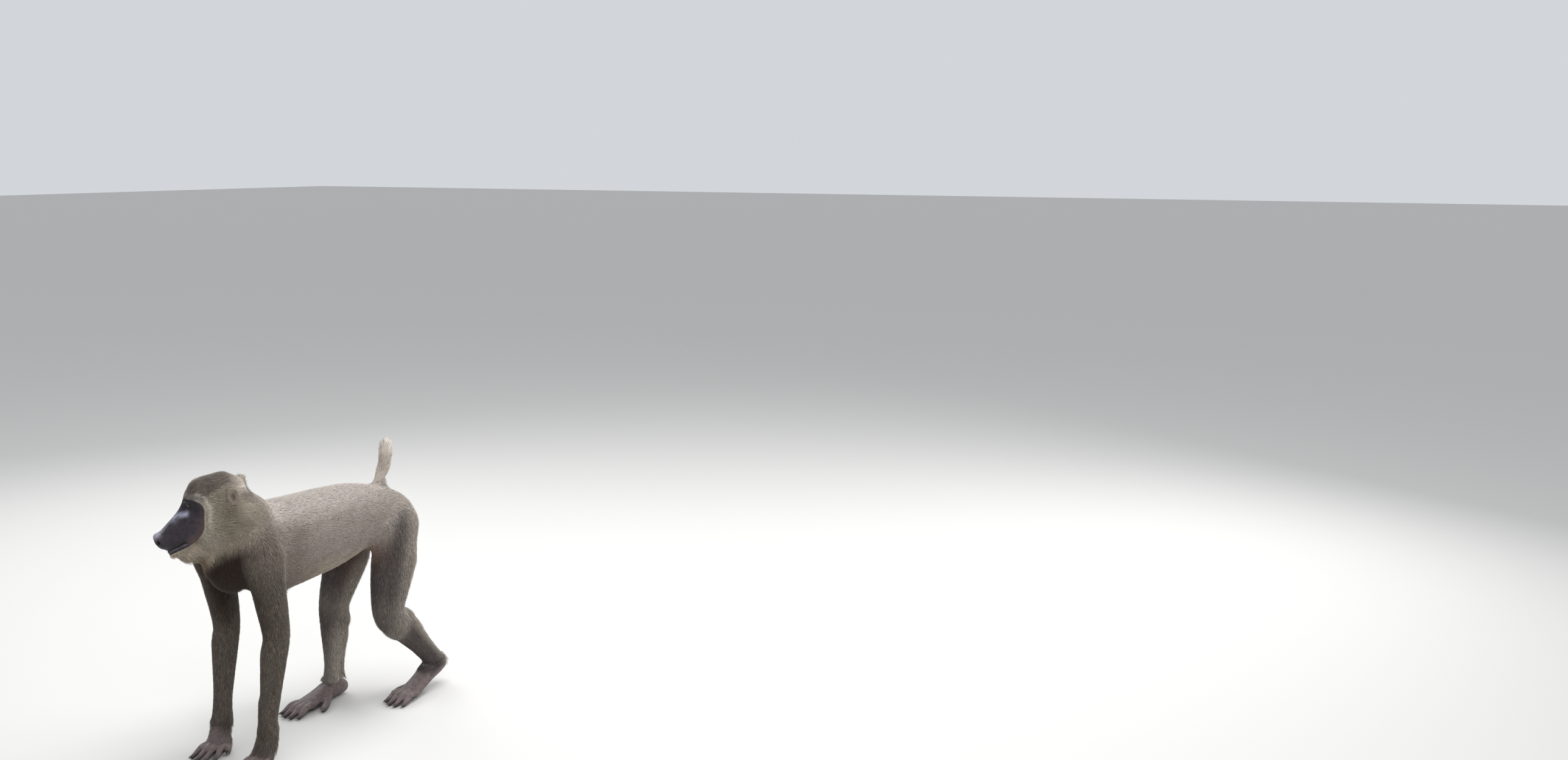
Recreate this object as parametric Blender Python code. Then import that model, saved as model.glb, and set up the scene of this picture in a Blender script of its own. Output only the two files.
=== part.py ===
"""A drill (Mandrillus leucophaeus), adult female, walking on all fours with her head turned to her right.

Metres, +Z up. She faces -Y, and +X is her left. The origin is on the floor, under the middle of her box.
The body is lofted from rows of named sizes, fused into one skin, and then parted into a node for each
part of the body. The coat is in the outline: short fur as the surface itself, the crown, cheek ruff,
beard, nape and tail tuft as tapered locks rooted in their node.
"""

import math
import random

import bmesh
import bpy
from mathutils import Matrix, Vector

# Driving dimensions, in metres.
GAP = 0.0003  # space kept between neighbouring nodes
SHOULDER_SPREAD = 0.061  # half the distance between the shoulder joints
HIP_SPREAD = 0.051
EYE_RADIUS = 0.0090
EAR_HEIGHT = 0.035
HEEL_LIFT = {"left": 0.026, "right": 0.0}
HAND_TURN = {"left": 8, "right": 12}  # degrees toward her left
FOOT_TURN = {"left": 3, "right": 3}
BODY_VOXEL = 0.0042  # how finely the shapes are melted together
HEAD_VOXEL = 0.0019
HAND_VOXEL = 0.0016
BODY_FACES = 4600
HEAD_FACES = 2400
PAW_FACES = 680

# Joint places, in metres. Left is the side with +X.
JOINTS = {
    "shoulder_left": (SHOULDER_SPREAD, -0.184, 0.388),
    "elbow_left": (0.062, -0.163, 0.232),
    "wrist_left": (0.062, -0.191, 0.066),
    "shoulder_right": (-SHOULDER_SPREAD, -0.184, 0.388),
    "elbow_right": (-0.070, -0.156, 0.232),
    "wrist_right": (-0.060, -0.184, 0.066),
    "hip_left": (HIP_SPREAD, 0.158, 0.358),
    "knee_left": (0.060, 0.117, 0.190),
    "ankle_left": (0.066, 0.234, 0.058),
    "hip_right": (-HIP_SPREAD, 0.158, 0.358),
    "knee_right": (-0.072, 0.110, 0.197),
    "ankle_right": (-0.067, 0.093, 0.044),
}
HEAD_CENTRE = Vector((0.018, -0.213, 0.482))
HEAD_YAW = math.radians(-50)  # turned to her right
HEAD_PITCH = math.radians(14.5)  # nose down
HEAD_ROLL = math.radians(3)
HEAD_SCALE = 0.91
NECK_END = (0, 0.006, -0.030)  # in the head's frame
NECK_BASE = (0, -0.150, 0.385)

MATERIALS = {  # colour, roughness
    "coat": ((0.30, 0.26, 0.20), 0.85),
    "face_skin": ((0.035, 0.035, 0.045), 0.45),
    "hand_skin": ((0.13, 0.11, 0.115), 0.6),
    "eye": ((0.10, 0.045, 0.015), 0.1),
}


def clear_scene():
    for obj in list(bpy.data.objects):
        bpy.data.objects.remove(obj)


def joint(name):
    return Vector(JOINTS[name])


def head_matrix():
    turn = Matrix.Rotation(HEAD_YAW, 4, "Z") @ Matrix.Rotation(HEAD_PITCH, 4, "X")
    turn = turn @ Matrix.Rotation(HEAD_ROLL, 4, "Y")
    return Matrix.Translation(HEAD_CENTRE) @ turn @ Matrix.Scale(HEAD_SCALE, 4)


def material(name):
    found = bpy.data.materials.get(name)
    if found:
        return found
    colour, roughness = MATERIALS[name]
    made = bpy.data.materials.new(name)
    made.use_nodes = True
    shader = made.node_tree.nodes["Principled BSDF"]
    shader.inputs["Base Color"].default_value = (*colour, 1.0)
    shader.inputs["Roughness"].default_value = roughness
    shader.inputs["Metallic"].default_value = 0.0
    return made


def add_object(name, bm, finish=None):
    if bm.calc_volume(signed=True) < 0:
        bmesh.ops.reverse_faces(bm, faces=bm.faces)
    mesh = bpy.data.meshes.new(name)
    bm.to_mesh(mesh)
    bm.free()
    obj = bpy.data.objects.new(name, mesh)
    bpy.context.scene.collection.objects.link(obj)
    if finish:
        mesh.materials.append(material(finish))
    return obj


def settle(obj):
    """Replaces the object's mesh with what its modifiers make of it."""
    bpy.context.view_layer.update()
    graph = bpy.context.evaluated_depsgraph_get()
    mesh = bpy.data.meshes.new_from_object(obj.evaluated_get(graph))
    obj.modifiers.clear()
    obj.data = mesh
    return obj


def remove(objects):
    for obj in objects:
        bpy.data.objects.remove(obj)


# Lofts: rows of named sizes, read as one smooth curve, carry rings of points.


def smooth_rows(rows, per_span):
    """Reads the rows as a Catmull-Rom curve, with per_span steps between neighbours."""
    made = []
    last = len(rows) - 1
    for i in range(last):
        before, here = rows[max(i - 1, 0)], rows[i]
        after, beyond = rows[i + 1], rows[min(i + 2, last)]
        for step in range(per_span):
            t = step / per_span
            made.append(
                [
                    0.5
                    * (
                        2 * b
                        + (c - a) * t
                        + (2 * a - 5 * b + 4 * c - d) * t * t
                        + (3 * b - a - 3 * c + d) * t**3
                    )
                    for a, b, c, d in zip(before, here, after, beyond)
                ]
            )
    made.append(list(rows[-1]))
    return made


def superellipse(angle, power):
    """A point of the unit superellipse: power 2 is round, and more is squarer."""
    c, s = math.cos(angle), math.sin(angle)
    x = math.copysign(abs(c) ** (2 / power), c)
    y = math.copysign(abs(s) ** (2 / power), s)
    return x, y


def skin_rings(bm, rings):
    """Closes a row of rings, each a list of points, into one body with a fan at each end."""
    loops = [[bm.verts.new(p) for p in ring] for ring in rings]
    sides = len(loops[0])
    for near, far in zip(loops, loops[1:]):
        for i in range(sides):
            j = (i + 1) % sides
            bm.faces.new((near[i], near[j], far[j], far[i]))
    for loop, flip in ((loops[0], True), (loops[-1], False)):
        middle = bm.verts.new(sum((v.co for v in loop), Vector()) / sides)
        for i in range(sides):
            a, b = loop[i], loop[(i + 1) % sides]
            bm.faces.new((b, a, middle) if flip else (a, b, middle))


def loft(rows, side=(1, 0, 0), sides=20, per_span=4, power=2.0):
    """Skins rows of (x, y, z, half width, first half depth, second half depth).

    side points along the width. The depths are square to it and to the path: with side along +X,
    the first is above for a path that runs back, and behind for a path that runs down.
    """
    rows = smooth_rows(rows, per_span)
    points = [Vector(r[:3]) for r in rows]
    side = Vector(side).normalized()
    rings = []
    for i, row in enumerate(rows):
        tangent = points[min(i + 1, len(rows) - 1)] - points[max(i - 1, 0)]
        tangent.normalize()
        across = (side - tangent * side.dot(tangent)).normalized()
        deep = across.cross(tangent)
        rings.append((points[i], tangent, across, deep, *row[3:6]))
    rings = rounded(rings[0], -1)[::-1] + rings + rounded(rings[-1], 1)
    made = []
    for centre, _, across, deep, width, first, second in rings:
        ring = []
        for k in range(sides):
            u, v = superellipse(2 * math.pi * k / sides, power)
            ring.append(centre + across * (u * width) + deep * (v * (first if v > 0 else second)))
        made.append(ring)
    bm = bmesh.new()
    skin_rings(bm, made)
    return bm


def rounded(ring, sign):
    """Two more rings that round off the end of a loft."""
    centre, tangent, across, deep, width, first, second = ring
    reach = 0.8 * min(width, (first + second) / 2)
    made = []
    for angle in (35, 68):
        a = math.radians(angle)
        c = math.cos(a)
        made.append(
            (
                centre + tangent * (sign * reach * math.sin(a)),
                tangent,
                across,
                deep,
                width * c,
                first * c,
                second * c,
            )
        )
    return made


def ball(centre, radii, turn=None, detail=3):
    """An ellipsoid."""
    bm = bmesh.new()
    bmesh.ops.create_icosphere(bm, subdivisions=detail, radius=1.0)
    shape = Matrix.Diagonal((*radii, 1.0))
    bm.transform(Matrix.Translation(Vector(centre)) @ (turn or Matrix.Identity(4)) @ shape)
    return bm


def joined(parts):
    """Puts several closed shapes into one bmesh, still overlapping."""
    whole = bmesh.new()
    for part in parts:
        mesh = bpy.data.meshes.new("part")
        part.to_mesh(mesh)
        part.free()
        whole.from_mesh(mesh)
        bpy.data.meshes.remove(mesh)
    return whole


def fused(name, parts, voxel, relax, faces):
    """Melts overlapping shapes into one smooth closed body of about that many triangles."""
    obj = add_object(name, joined(parts))
    remesh = obj.modifiers.new("fuse", "REMESH")
    remesh.mode = "VOXEL"
    remesh.voxel_size = voxel
    smooth = obj.modifiers.new("relax", "SMOOTH")
    smooth.factor = 0.5
    smooth.iterations = relax
    settle(obj)
    count = sum(len(p.vertices) - 2 for p in obj.data.polygons)
    thin = obj.modifiers.new("thin", "DECIMATE")
    thin.ratio = min(1.0, faces / count)
    thin.use_collapse_triangulate = True
    return settle(obj)


def boolean(obj, other, operation, solver="EXACT"):
    """Applies one Boolean, and keeps the largest closed surface that it leaves."""
    cut = obj.modifiers.new("cut", "BOOLEAN")
    cut.operation = operation
    cut.solver = solver
    cut.object = other
    settle(obj)
    keep_largest(obj)
    return obj


def keep_largest(obj):
    bm = bmesh.new()
    bm.from_mesh(obj.data)
    left = set(bm.verts)
    groups = []
    while left:
        seed = left.pop()
        group, front = {seed}, [seed]
        while front:
            for edge in front.pop().link_edges:
                for vert in edge.verts:
                    if vert in left:
                        left.discard(vert)
                        group.add(vert)
                        front.append(vert)
        groups.append(group)
    largest = max(groups, key=len)
    bmesh.ops.delete(bm, geom=[v for v in bm.verts if v not in largest], context="VERTS")
    bm.to_mesh(obj.data)
    bm.free()


def duplicate(obj, name):
    made = bpy.data.objects.new(name, obj.data.copy())
    bpy.context.scene.collection.objects.link(made)
    return made


def half_space(centre, normal, reach, depth, extra=0.0):
    """A box that starts on the plane and runs along normal; extra grows it to that side and sideways.

    reach is half its size along X, and half its size square to X and to normal.
    """
    normal = Vector(normal).normalized()
    across = (Vector((1, 0, 0)) - normal * normal.x).normalized()
    frame = Matrix((across, normal.cross(across), normal)).transposed().to_4x4()
    bm = bmesh.new()
    bmesh.ops.create_cube(bm, size=1.0)
    bm.transform(Matrix.Diagonal((2 * (reach[0] + extra), 2 * (reach[1] + extra), depth + extra, 1.0)))
    middle = Vector(centre) + normal * (depth - extra) / 2
    bm.transform(Matrix.Translation(middle) @ frame)
    return bm


def take(body, name, region):
    """Parts a node from the body: what lies in region(0). The body keeps what is clear of it by GAP."""
    piece = duplicate(body, name)
    inner = add_object("inner", region(0.0))
    boolean(piece, inner, "INTERSECT")
    outer = add_object("outer", region(GAP))
    boolean(body, outer, "DIFFERENCE")
    remove((inner, outer))
    return piece


# The trunk, limbs and neck.


def torso_parts():
    rows = (  # x, y, z, half width, above, below
        (0, -0.205, 0.368, 0.047, 0.042, 0.048),
        (0, -0.165, 0.370, 0.066, 0.072, 0.074),
        (0, -0.110, 0.368, 0.075, 0.086, 0.088),
        (0, -0.040, 0.369, 0.077, 0.084, 0.086),
        (0, 0.030, 0.371, 0.076, 0.080, 0.080),
        (0, 0.095, 0.374, 0.073, 0.072, 0.066),
        (0, 0.155, 0.374, 0.070, 0.056, 0.052),
        (0, 0.196, 0.365, 0.060, 0.046, 0.050),
    )
    trunk = loft(rows, sides=24, power=2.15)
    rump = ball((0, 0.185, 0.352), (0.066, 0.050, 0.062))
    chest = ball((0, -0.196, 0.372), (0.054, 0.050, 0.070))
    pads = [ball((s * 0.024, 0.222, 0.340), (0.018, 0.013, 0.024)) for s in (-1, 1)]
    return [trunk, rump, chest, *pads]


def neck_rows():
    back = head_matrix() @ Vector(NECK_END)
    base = Vector(NECK_BASE)
    middle = base.lerp(back, 0.5) + Vector((0, -0.004, 0.004))
    return (
        (*base, 0.056, 0.068, 0.074),
        (*middle, 0.052, 0.046, 0.062),
        (*back, 0.046, 0.036, 0.050),
    )


def neck_part():
    return loft(neck_rows(), sides=20, power=2.1)


def fore_rows(side):
    """Shoulder blade, upper arm and forearm down to the wrist."""
    s = 1 if side == "left" else -1
    shoulder, elbow, wrist = (joint(f"{n}_{side}") for n in ("shoulder", "elbow", "wrist"))
    blade = shoulder + Vector((-0.018 * s, 0.028, 0.030))
    high = shoulder.lerp(elbow, 0.42)
    low = elbow.lerp(wrist, 0.22)
    mid = elbow.lerp(wrist, 0.62)
    stub = wrist + (wrist - elbow).normalized() * 0.012
    return (  # x, y, z, half width, behind, in front
        (*blade, 0.020, 0.036, 0.042),
        (*shoulder, 0.030, 0.052, 0.047),
        (*high, 0.029, 0.040, 0.036),
        (*elbow, 0.025, 0.031, 0.027),
        (*low, 0.025, 0.028, 0.026),
        (*mid, 0.021, 0.021, 0.021),
        (*wrist, 0.0175, 0.0160, 0.0155),
        (*stub, 0.0170, 0.0140, 0.0140),
    )


def hind_rows(side):
    """Haunch, thigh and shank down to the ankle."""
    s = 1 if side == "left" else -1
    hip, knee, ankle = (joint(f"{n}_{side}") for n in ("hip", "knee", "ankle"))
    haunch = hip + Vector((-0.016 * s, 0.010, 0.032))
    high = hip.lerp(knee, 0.40)
    calf = knee.lerp(ankle, 0.30)
    low = knee.lerp(ankle, 0.68)
    stub = ankle + (ankle - knee).normalized() * 0.010
    return (  # x, y, z, half width, behind, in front
        (*haunch, 0.026, 0.058, 0.052),
        (*hip, 0.034, 0.066, 0.058),
        (*high, 0.036, 0.054, 0.050),
        (*knee, 0.028, 0.033, 0.034),
        (*calf, 0.026, 0.034, 0.030),
        (*low, 0.0195, 0.022, 0.022),
        (*ankle, 0.0165, 0.0180, 0.0165),
        (*stub, 0.0160, 0.0165, 0.0150),
    )


TAIL_ROWS = (  # x, y, z, half width, and the two half depths
    (0.000, 0.150, 0.395, 0.020, 0.020, 0.020),
    (0.000, 0.172, 0.428, 0.0135, 0.0135, 0.0135),
    (0.002, 0.186, 0.456, 0.0105, 0.0105, 0.0105),
    (0.004, 0.192, 0.480, 0.0095, 0.0095, 0.0095),
    (0.006, 0.188, 0.498, 0.0065, 0.0065, 0.0065),
)


def build_body():
    parts = torso_parts() + [neck_part()] + skull_shapes(0.96)
    for side in ("left", "right"):
        parts += [loft(fore_rows(side), sides=18), loft(hind_rows(side), sides=18)]
    parts.append(loft(TAIL_ROWS, sides=14))
    body = fused("torso", parts, BODY_VOXEL, 11, BODY_FACES)
    body.data.materials.append(material("coat"))
    return body


# The head, in its own frame: the nose points along -Y, up is +Z, and the origin is between the ears.


MUZZLE_ROWS = (  # x, y, z, half width, above, below
    (0, -0.1360, -0.0480, 0.0170, 0.0130, 0.0165),
    (0, -0.1270, -0.0460, 0.0210, 0.0180, 0.0200),
    (0, -0.1110, -0.0420, 0.0240, 0.0225, 0.0220),
    (0, -0.0880, -0.0340, 0.0262, 0.0265, 0.0280),
    (0, -0.0650, -0.0250, 0.0310, 0.0275, 0.0380),
    (0, -0.0400, -0.0160, 0.0350, 0.0260, 0.0460),
)
BRIDGE_ROWS = (
    (0, -0.1370, -0.0410, 0.0105, 0.0080, 0.0100),
    (0, -0.1230, -0.0300, 0.0095, 0.0085, 0.0100),
    (0, -0.1000, -0.0150, 0.0088, 0.0085, 0.0100),
    (0, -0.0820, -0.0010, 0.0082, 0.0085, 0.0100),
    (0, -0.0680, 0.0140, 0.0085, 0.0100, 0.0100),
)
RIDGE_ROWS = (  # the swelling beside the nose, on her left
    (0.0125, -0.120, -0.030, 0.0050, 0.0050, 0.0060),
    (0.0150, -0.106, -0.021, 0.0062, 0.0075, 0.0060),
    (0.0155, -0.091, -0.012, 0.0060, 0.0075, 0.0060),
    (0.0135, -0.078, -0.003, 0.0045, 0.0055, 0.0060),
)
JAW_ROWS = (
    (0, -0.1255, -0.0715, 0.0150, 0.0090, 0.0100),
    (0, -0.1100, -0.0725, 0.0200, 0.0120, 0.0175),
    (0, -0.0850, -0.0700, 0.0265, 0.0200, 0.0265),
    (0, -0.0600, -0.0640, 0.0330, 0.0280, 0.0310),
    (0, -0.0250, -0.0560, 0.0380, 0.0240, 0.0340),
)
BROW_ROWS = (  # x, y, z, half height, behind, in front
    (-0.0310, -0.0500, 0.0210, 0.0050, 0.0100, 0.0050),
    (-0.0190, -0.0650, 0.0265, 0.0065, 0.0120, 0.0065),
    (0.0000, -0.0710, 0.0270, 0.0066, 0.0120, 0.0060),
    (0.0190, -0.0650, 0.0265, 0.0065, 0.0120, 0.0065),
    (0.0310, -0.0500, 0.0210, 0.0050, 0.0100, 0.0050),
)
MOUTH_ROWS = (  # the line of the mouth, with its half height and its reach into the lips
    (-0.0262, -0.0880, -0.0585, 0.0007, 0.0030, 0.0030),
    (-0.0235, -0.1060, -0.0620, 0.0009, 0.0035, 0.0035),
    (-0.0170, -0.1250, -0.0665, 0.0009, 0.0040, 0.0040),
    (0.0000, -0.1350, -0.0675, 0.0009, 0.0050, 0.0050),
    (0.0170, -0.1250, -0.0665, 0.0009, 0.0040, 0.0040),
    (0.0235, -0.1060, -0.0620, 0.0009, 0.0035, 0.0035),
    (0.0262, -0.0880, -0.0585, 0.0007, 0.0030, 0.0030),
)
EYE_PLACE = (0.0180, -0.0600, 0.0105)
EYE_TURN = math.radians(14)  # how far each eye looks out to its side


def mirrored(rows):
    return tuple((-x, *rest) for x, *rest in rows)


def skull_shapes(scale=1.0):
    """The round of the head, which the neck shares, a little smaller, so that the two meet."""
    shapes = [
        ball((0, -0.016, 0.004), (0.045, 0.054, 0.052)),
        ball((0, -0.042, 0.016), (0.036, 0.033, 0.036)),
    ]
    shapes += [ball((s * 0.027, -0.010, -0.029), (0.027, 0.045, 0.044)) for s in (-1, 1)]
    for shape in shapes:
        shape.transform(head_matrix() @ Matrix.Scale(scale, 4))
    return shapes


def build_head():
    """Returns the head, and its plain block before the fine cuts, to cut its neighbours by."""
    place = head_matrix()
    shapes = [
        loft(MUZZLE_ROWS, sides=20, power=2.4),
        loft(BRIDGE_ROWS, sides=14),
        loft(RIDGE_ROWS, sides=12),
        loft(mirrored(RIDGE_ROWS), sides=12),
        loft(JAW_ROWS, sides=20, power=2.3),
        loft(BROW_ROWS, side=(0, 0, 1), sides=14),
        ball((0, -0.040, -0.070), (0.030, 0.050, 0.028)),
    ]
    for s in (-1, 1):
        eye = Vector((s * EYE_PLACE[0], *EYE_PLACE[1:]))
        shapes.append(ball((s * 0.023, -0.043, -0.010), (0.0135, 0.026, 0.014)))
        shapes.append(ball((s * 0.0190, -0.070, -0.053), (0.0120, 0.024, 0.021)))
        shapes.append(ball((s * 0.027, -0.036, 0.012), (0.014, 0.022, 0.020)))
        shapes.append(ball(eye, (EYE_RADIUS / HEAD_SCALE + 0.0016,) * 3))
        shapes.append(ball((s * 0.0080, -0.1345, -0.0430), (0.0085, 0.0090, 0.0085)))
    for shape in shapes:
        shape.transform(place)
    shapes += skull_shapes() + [neck_part()]
    head = fused("head", shapes, HEAD_VOXEL, 7, HEAD_FACES)
    head.data.materials.append(material("face_skin"))
    end = place @ Vector(NECK_END)
    along = (end - Vector(NECK_BASE)).normalized()
    behind = (place.to_3x3() @ Vector((0, 0.94, -0.34))).normalized()
    cut_plane(head, end - along * 0.014, behind - along, (0.12, 0.12))
    block = duplicate(head, "block")
    cutters = [loft(MOUTH_ROWS, side=(0, 0, 1), sides=8, per_span=5)]
    for s in (-1, 1):
        eye = Vector((s * EYE_PLACE[0], *EYE_PLACE[1:]))
        turn = Matrix.Rotation(s * EYE_TURN, 4, "Z")
        reach = EYE_RADIUS / HEAD_SCALE
        front = eye + turn @ Vector((0, -reach, -0.0004))
        cutters.append(ball(front, (0.0078, 0.0065, 0.0042), turn))
        cutters.append(ball(eye, ((EYE_RADIUS + GAP) / HEAD_SCALE,) * 3))
        nostril = Matrix.Rotation(s * math.radians(38), 4, "Z")
        cutters.append(ball((s * 0.0135, -0.1430, -0.0430), (0.0034, 0.0072, 0.0030), nostril, 2))
    for cutter in cutters:
        cutter.transform(place)
        tool = add_object("tool", cutter)
        boolean(head, tool, "DIFFERENCE")
        remove((tool,))
    return head, block


def build_eye(side):
    s = 1 if side == "left" else -1
    bm = ball((s * EYE_PLACE[0], *EYE_PLACE[1:]), (EYE_RADIUS / HEAD_SCALE,) * 3, detail=2)
    bm.transform(head_matrix())
    return add_object(f"eye_{side}", bm, "eye")


EAR_PROFILE = (  # along the axis and out from it, from the root round the rim to the bottom of the cup
    (-0.0080, 0.0070),
    (-0.0010, 0.0095),
    (0.0040, 0.0140),
    (0.0070, 0.0160),
    (0.0086, 0.0160),
    (0.0080, 0.0146),
    (0.0045, 0.0118),
    (0.0010, 0.0060),
)
EAR_PLACE = (0.0375, 0.022, 0.008)


def build_ear(side):
    s = 1 if side == "left" else -1
    axis = Vector((s * 0.88, -0.46, 0.10)).normalized()
    up = (Vector((0, 0.25, 1)) - axis * Vector((0, 0.25, 1)).dot(axis)).normalized()
    across = up.cross(axis)
    rings = []
    root = Vector((s * EAR_PLACE[0], *EAR_PLACE[1:]))
    tallest = EAR_HEIGHT / (2 * max(out for _, out in EAR_PROFILE))
    for along, out in EAR_PROFILE:
        ring = []
        for k in range(14):
            a = 2 * math.pi * k / 14
            tall = tallest * (1.08 if math.sin(a) > 0 else 0.92)
            flat = across * (math.cos(a) * out * 0.85) + up * (math.sin(a) * out * tall)
            ring.append(root + axis * along + flat)
        rings.append(ring)
    bm = bmesh.new()
    skin_rings(bm, rings)
    bm.transform(head_matrix())
    return add_object(f"ear_{side}", bm, "face_skin")


# Hands and feet, each in its own frame: the digits point along -Y, and z is the height over the floor.


def digit(rows):
    return loft(rows, sides=10, per_span=3)


def hand_parts(wrist_height):
    palm = loft(
        (  # x, y, z, half width, behind, in front
            (0, 0.001, wrist_height, 0.0165, 0.0135, 0.0135),
            (0, -0.004, 0.7 * wrist_height, 0.0180, 0.0110, 0.0120),
            (0, -0.012, 0.42 * wrist_height, 0.0205, 0.0105, 0.0110),
            (0, -0.022, 0.016, 0.0215, 0.0095, 0.0090),
        ),
        sides=16,
        power=2.3,
    )
    shapes = [palm, ball((0, -0.021, 0.0085), (0.021, 0.013, 0.010))]
    for x, length in ((-0.0165, 0.040), (-0.0055, 0.047), (0.0055, 0.046), (0.0165, 0.037)):
        shapes.append(
            digit(
                (
                    (x, -0.022, 0.0145, 0.0058, 0.0058, 0.0058),
                    (x * 1.15, -0.022 - 0.36 * length, 0.0155, 0.0056, 0.0056, 0.0056),
                    (x * 1.28, -0.022 - 0.72 * length, 0.0080, 0.0050, 0.0050, 0.0050),
                    (x * 1.36, -0.022 - length, 0.0042, 0.0043, 0.0040, 0.0044),
                )
            )
        )
    thumb = (
        (0.0150, -0.008, 0.0240, 0.0060, 0.0060, 0.0060),
        (0.0225, -0.017, 0.0130, 0.0056, 0.0056, 0.0056),
        (0.0275, -0.028, 0.0046, 0.0046, 0.0046, 0.0046),
    )
    return shapes, thumb


def foot_parts(ankle_height, lift):
    """lift is how high the heel is off the floor; it fades out at the ball of the foot."""
    sole = (  # x, y, z, half width, above, below
        (0, 0.027, 0.016 + lift, 0.0120, 0.0120, 0.0150),
        (0, 0.008, 0.021 + 0.85 * lift, 0.0165, 0.0180, 0.0200),
        (0, -0.020, 0.019 + 0.55 * lift, 0.0180, 0.0170, 0.0160),
        (0, -0.050, 0.0155 + 0.22 * lift, 0.0200, 0.0125, 0.0130),
        (0, -0.077, 0.0115, 0.0225, 0.0100, 0.0118),
    )
    shapes = [loft(sole[::-1], sides=16, power=2.2)]
    leg = (
        (0, 0.006, 0.020 + 0.8 * lift, 0.0160, 0.0170, 0.0150),
        (0, 0.001, ankle_height, 0.0160, 0.0170, 0.0150),
        (0, 0.000, ankle_height + 0.010, 0.0160, 0.0165, 0.0150),
    )
    shapes.append(loft(leg, sides=14))
    for x, length in ((-0.0170, 0.040), (-0.0058, 0.049), (0.0058, 0.050), (0.0170, 0.043)):
        shapes.append(
            digit(
                (
                    (x, -0.074, 0.0120, 0.0062, 0.0062, 0.0062),
                    (x * 1.12, -0.078 - 0.36 * length, 0.0150, 0.0060, 0.0060, 0.0060),
                    (x * 1.22, -0.078 - 0.72 * length, 0.0085, 0.0055, 0.0055, 0.0055),
                    (x * 1.30, -0.078 - length, 0.0044, 0.0046, 0.0042, 0.0046),
                )
            )
        )
    hallux = (
        (0.0130, -0.030, 0.0150 + 0.3 * lift, 0.0090, 0.0090, 0.0090),
        (0.0250, -0.046, 0.0105, 0.0078, 0.0078, 0.0078),
        (0.0340, -0.061, 0.0080, 0.0066, 0.0066, 0.0066),
        (0.0385, -0.073, 0.0052, 0.0054, 0.0054, 0.0054),
    )
    return shapes, hallux


def build_paw(name, joint_name, parts, inner, turn, stub):
    """A hand or foot under its joint; inner is +1 where the thumb or hallux is on the +X side."""
    shapes, first = parts
    shapes.append(digit(first if inner > 0 else mirrored(first)))
    foot = joint(joint_name)
    place = Matrix.Translation((foot.x, foot.y, 0)) @ Matrix.Rotation(turn, 4, "Z")
    for shape in shapes:
        shape.transform(place)
    shapes.append(stub)
    paw = fused(name, shapes, HAND_VOXEL, 3, PAW_FACES)
    paw.data.materials.append(material("hand_skin"))
    floor = add_object("floor", half_space((foot.x, foot.y, 0), (0, 0, -1), (0.4, 0.4), 0.1))
    boolean(paw, floor, "DIFFERENCE")
    remove((floor,))
    return paw


# Locks: flat, tapered tufts set on a node's surface along the lie of its coat.


def lock(root, lie, out, length, width, thick, droop, sink=0.005):
    """One lock from its sunk root: it leaves the surface, bends to the lie, and ends in a point."""
    lie, out = lie.normalized(), out.normalized()
    across = lie.cross(out).normalized()
    rings = []
    for t, wide in ((0.0, 0.9), (0.45, 1.0), (0.82, 0.60)):
        lift = -sink * (1 - t) ** 2 + thick * 0.45 * math.sin(math.pi * min(1.0, t + 0.12)) - droop * t * t
        centre = root + lie * (length * t - sink * 0.6) + out * lift
        w, d = width / 2 * wide, thick / 2 * max(wide, 0.4)
        rings.append([centre + across * w, centre + out * d, centre - across * w, centre - out * d])
    tip = root + lie * length + out * (thick * 0.1 - droop)
    bm = bmesh.new()
    loops = [[bm.verts.new(p) for p in ring] for ring in rings]
    for near, far in zip(loops, loops[1:]):
        for k in range(4):
            bm.faces.new((near[k], near[(k + 1) % 4], far[(k + 1) % 4], far[k]))
    bm.faces.new(loops[0][::-1])
    end = bm.verts.new(tip)
    for k in range(4):
        bm.faces.new((loops[-1][k], loops[-1][(k + 1) % 4], end))
    bmesh.ops.triangulate(bm, faces=bm.faces)
    return bm


def fuse_locks(obj, locks):
    """Joins the locks to their node with one union, and keeps the largest closed surface."""
    group = bpy.data.collections.new("locks")
    for i, bm in enumerate(locks):
        piece = add_object(f"lock_{i:03d}", bm)
        bpy.context.scene.collection.objects.unlink(piece)
        group.objects.link(piece)
    join = obj.modifiers.new("locks", "BOOLEAN")
    join.operation = "UNION"
    join.operand_type = "COLLECTION"
    join.solver = "MANIFOLD"
    join.collection = group
    settle(obj)
    remove(list(group.objects))
    bpy.data.collections.remove(group)
    keep_largest(obj)


def on_surface(obj, point):
    """The nearest place on the object, and the way out of it."""
    _, place, normal, _ = obj.closest_point_on_mesh(point)
    return place, normal


RUFF_ROWS = (  # place back from the middle of the head, the length and width of its locks, and their
    (-0.032, 0.036, 0.0200, (-66, -42, -18, 6, 28)),  # angles round the cheek, from below to above
    (-0.009, 0.038, 0.0210, (-72, -46, -20, 4)),
    (0.013, 0.034, 0.0210, (-60, -34, -10)),
)
BEARD_LOCKS = 4  # on each side, from the chin to the throat
CROWN_ROWS = (  # angle over the skull from the nose to the nape, how many, and their length
    (62, 4, 0.026),
    (88, 5, 0.028),
    (114, 5, 0.031),
    (140, 4, 0.033),
)


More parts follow.
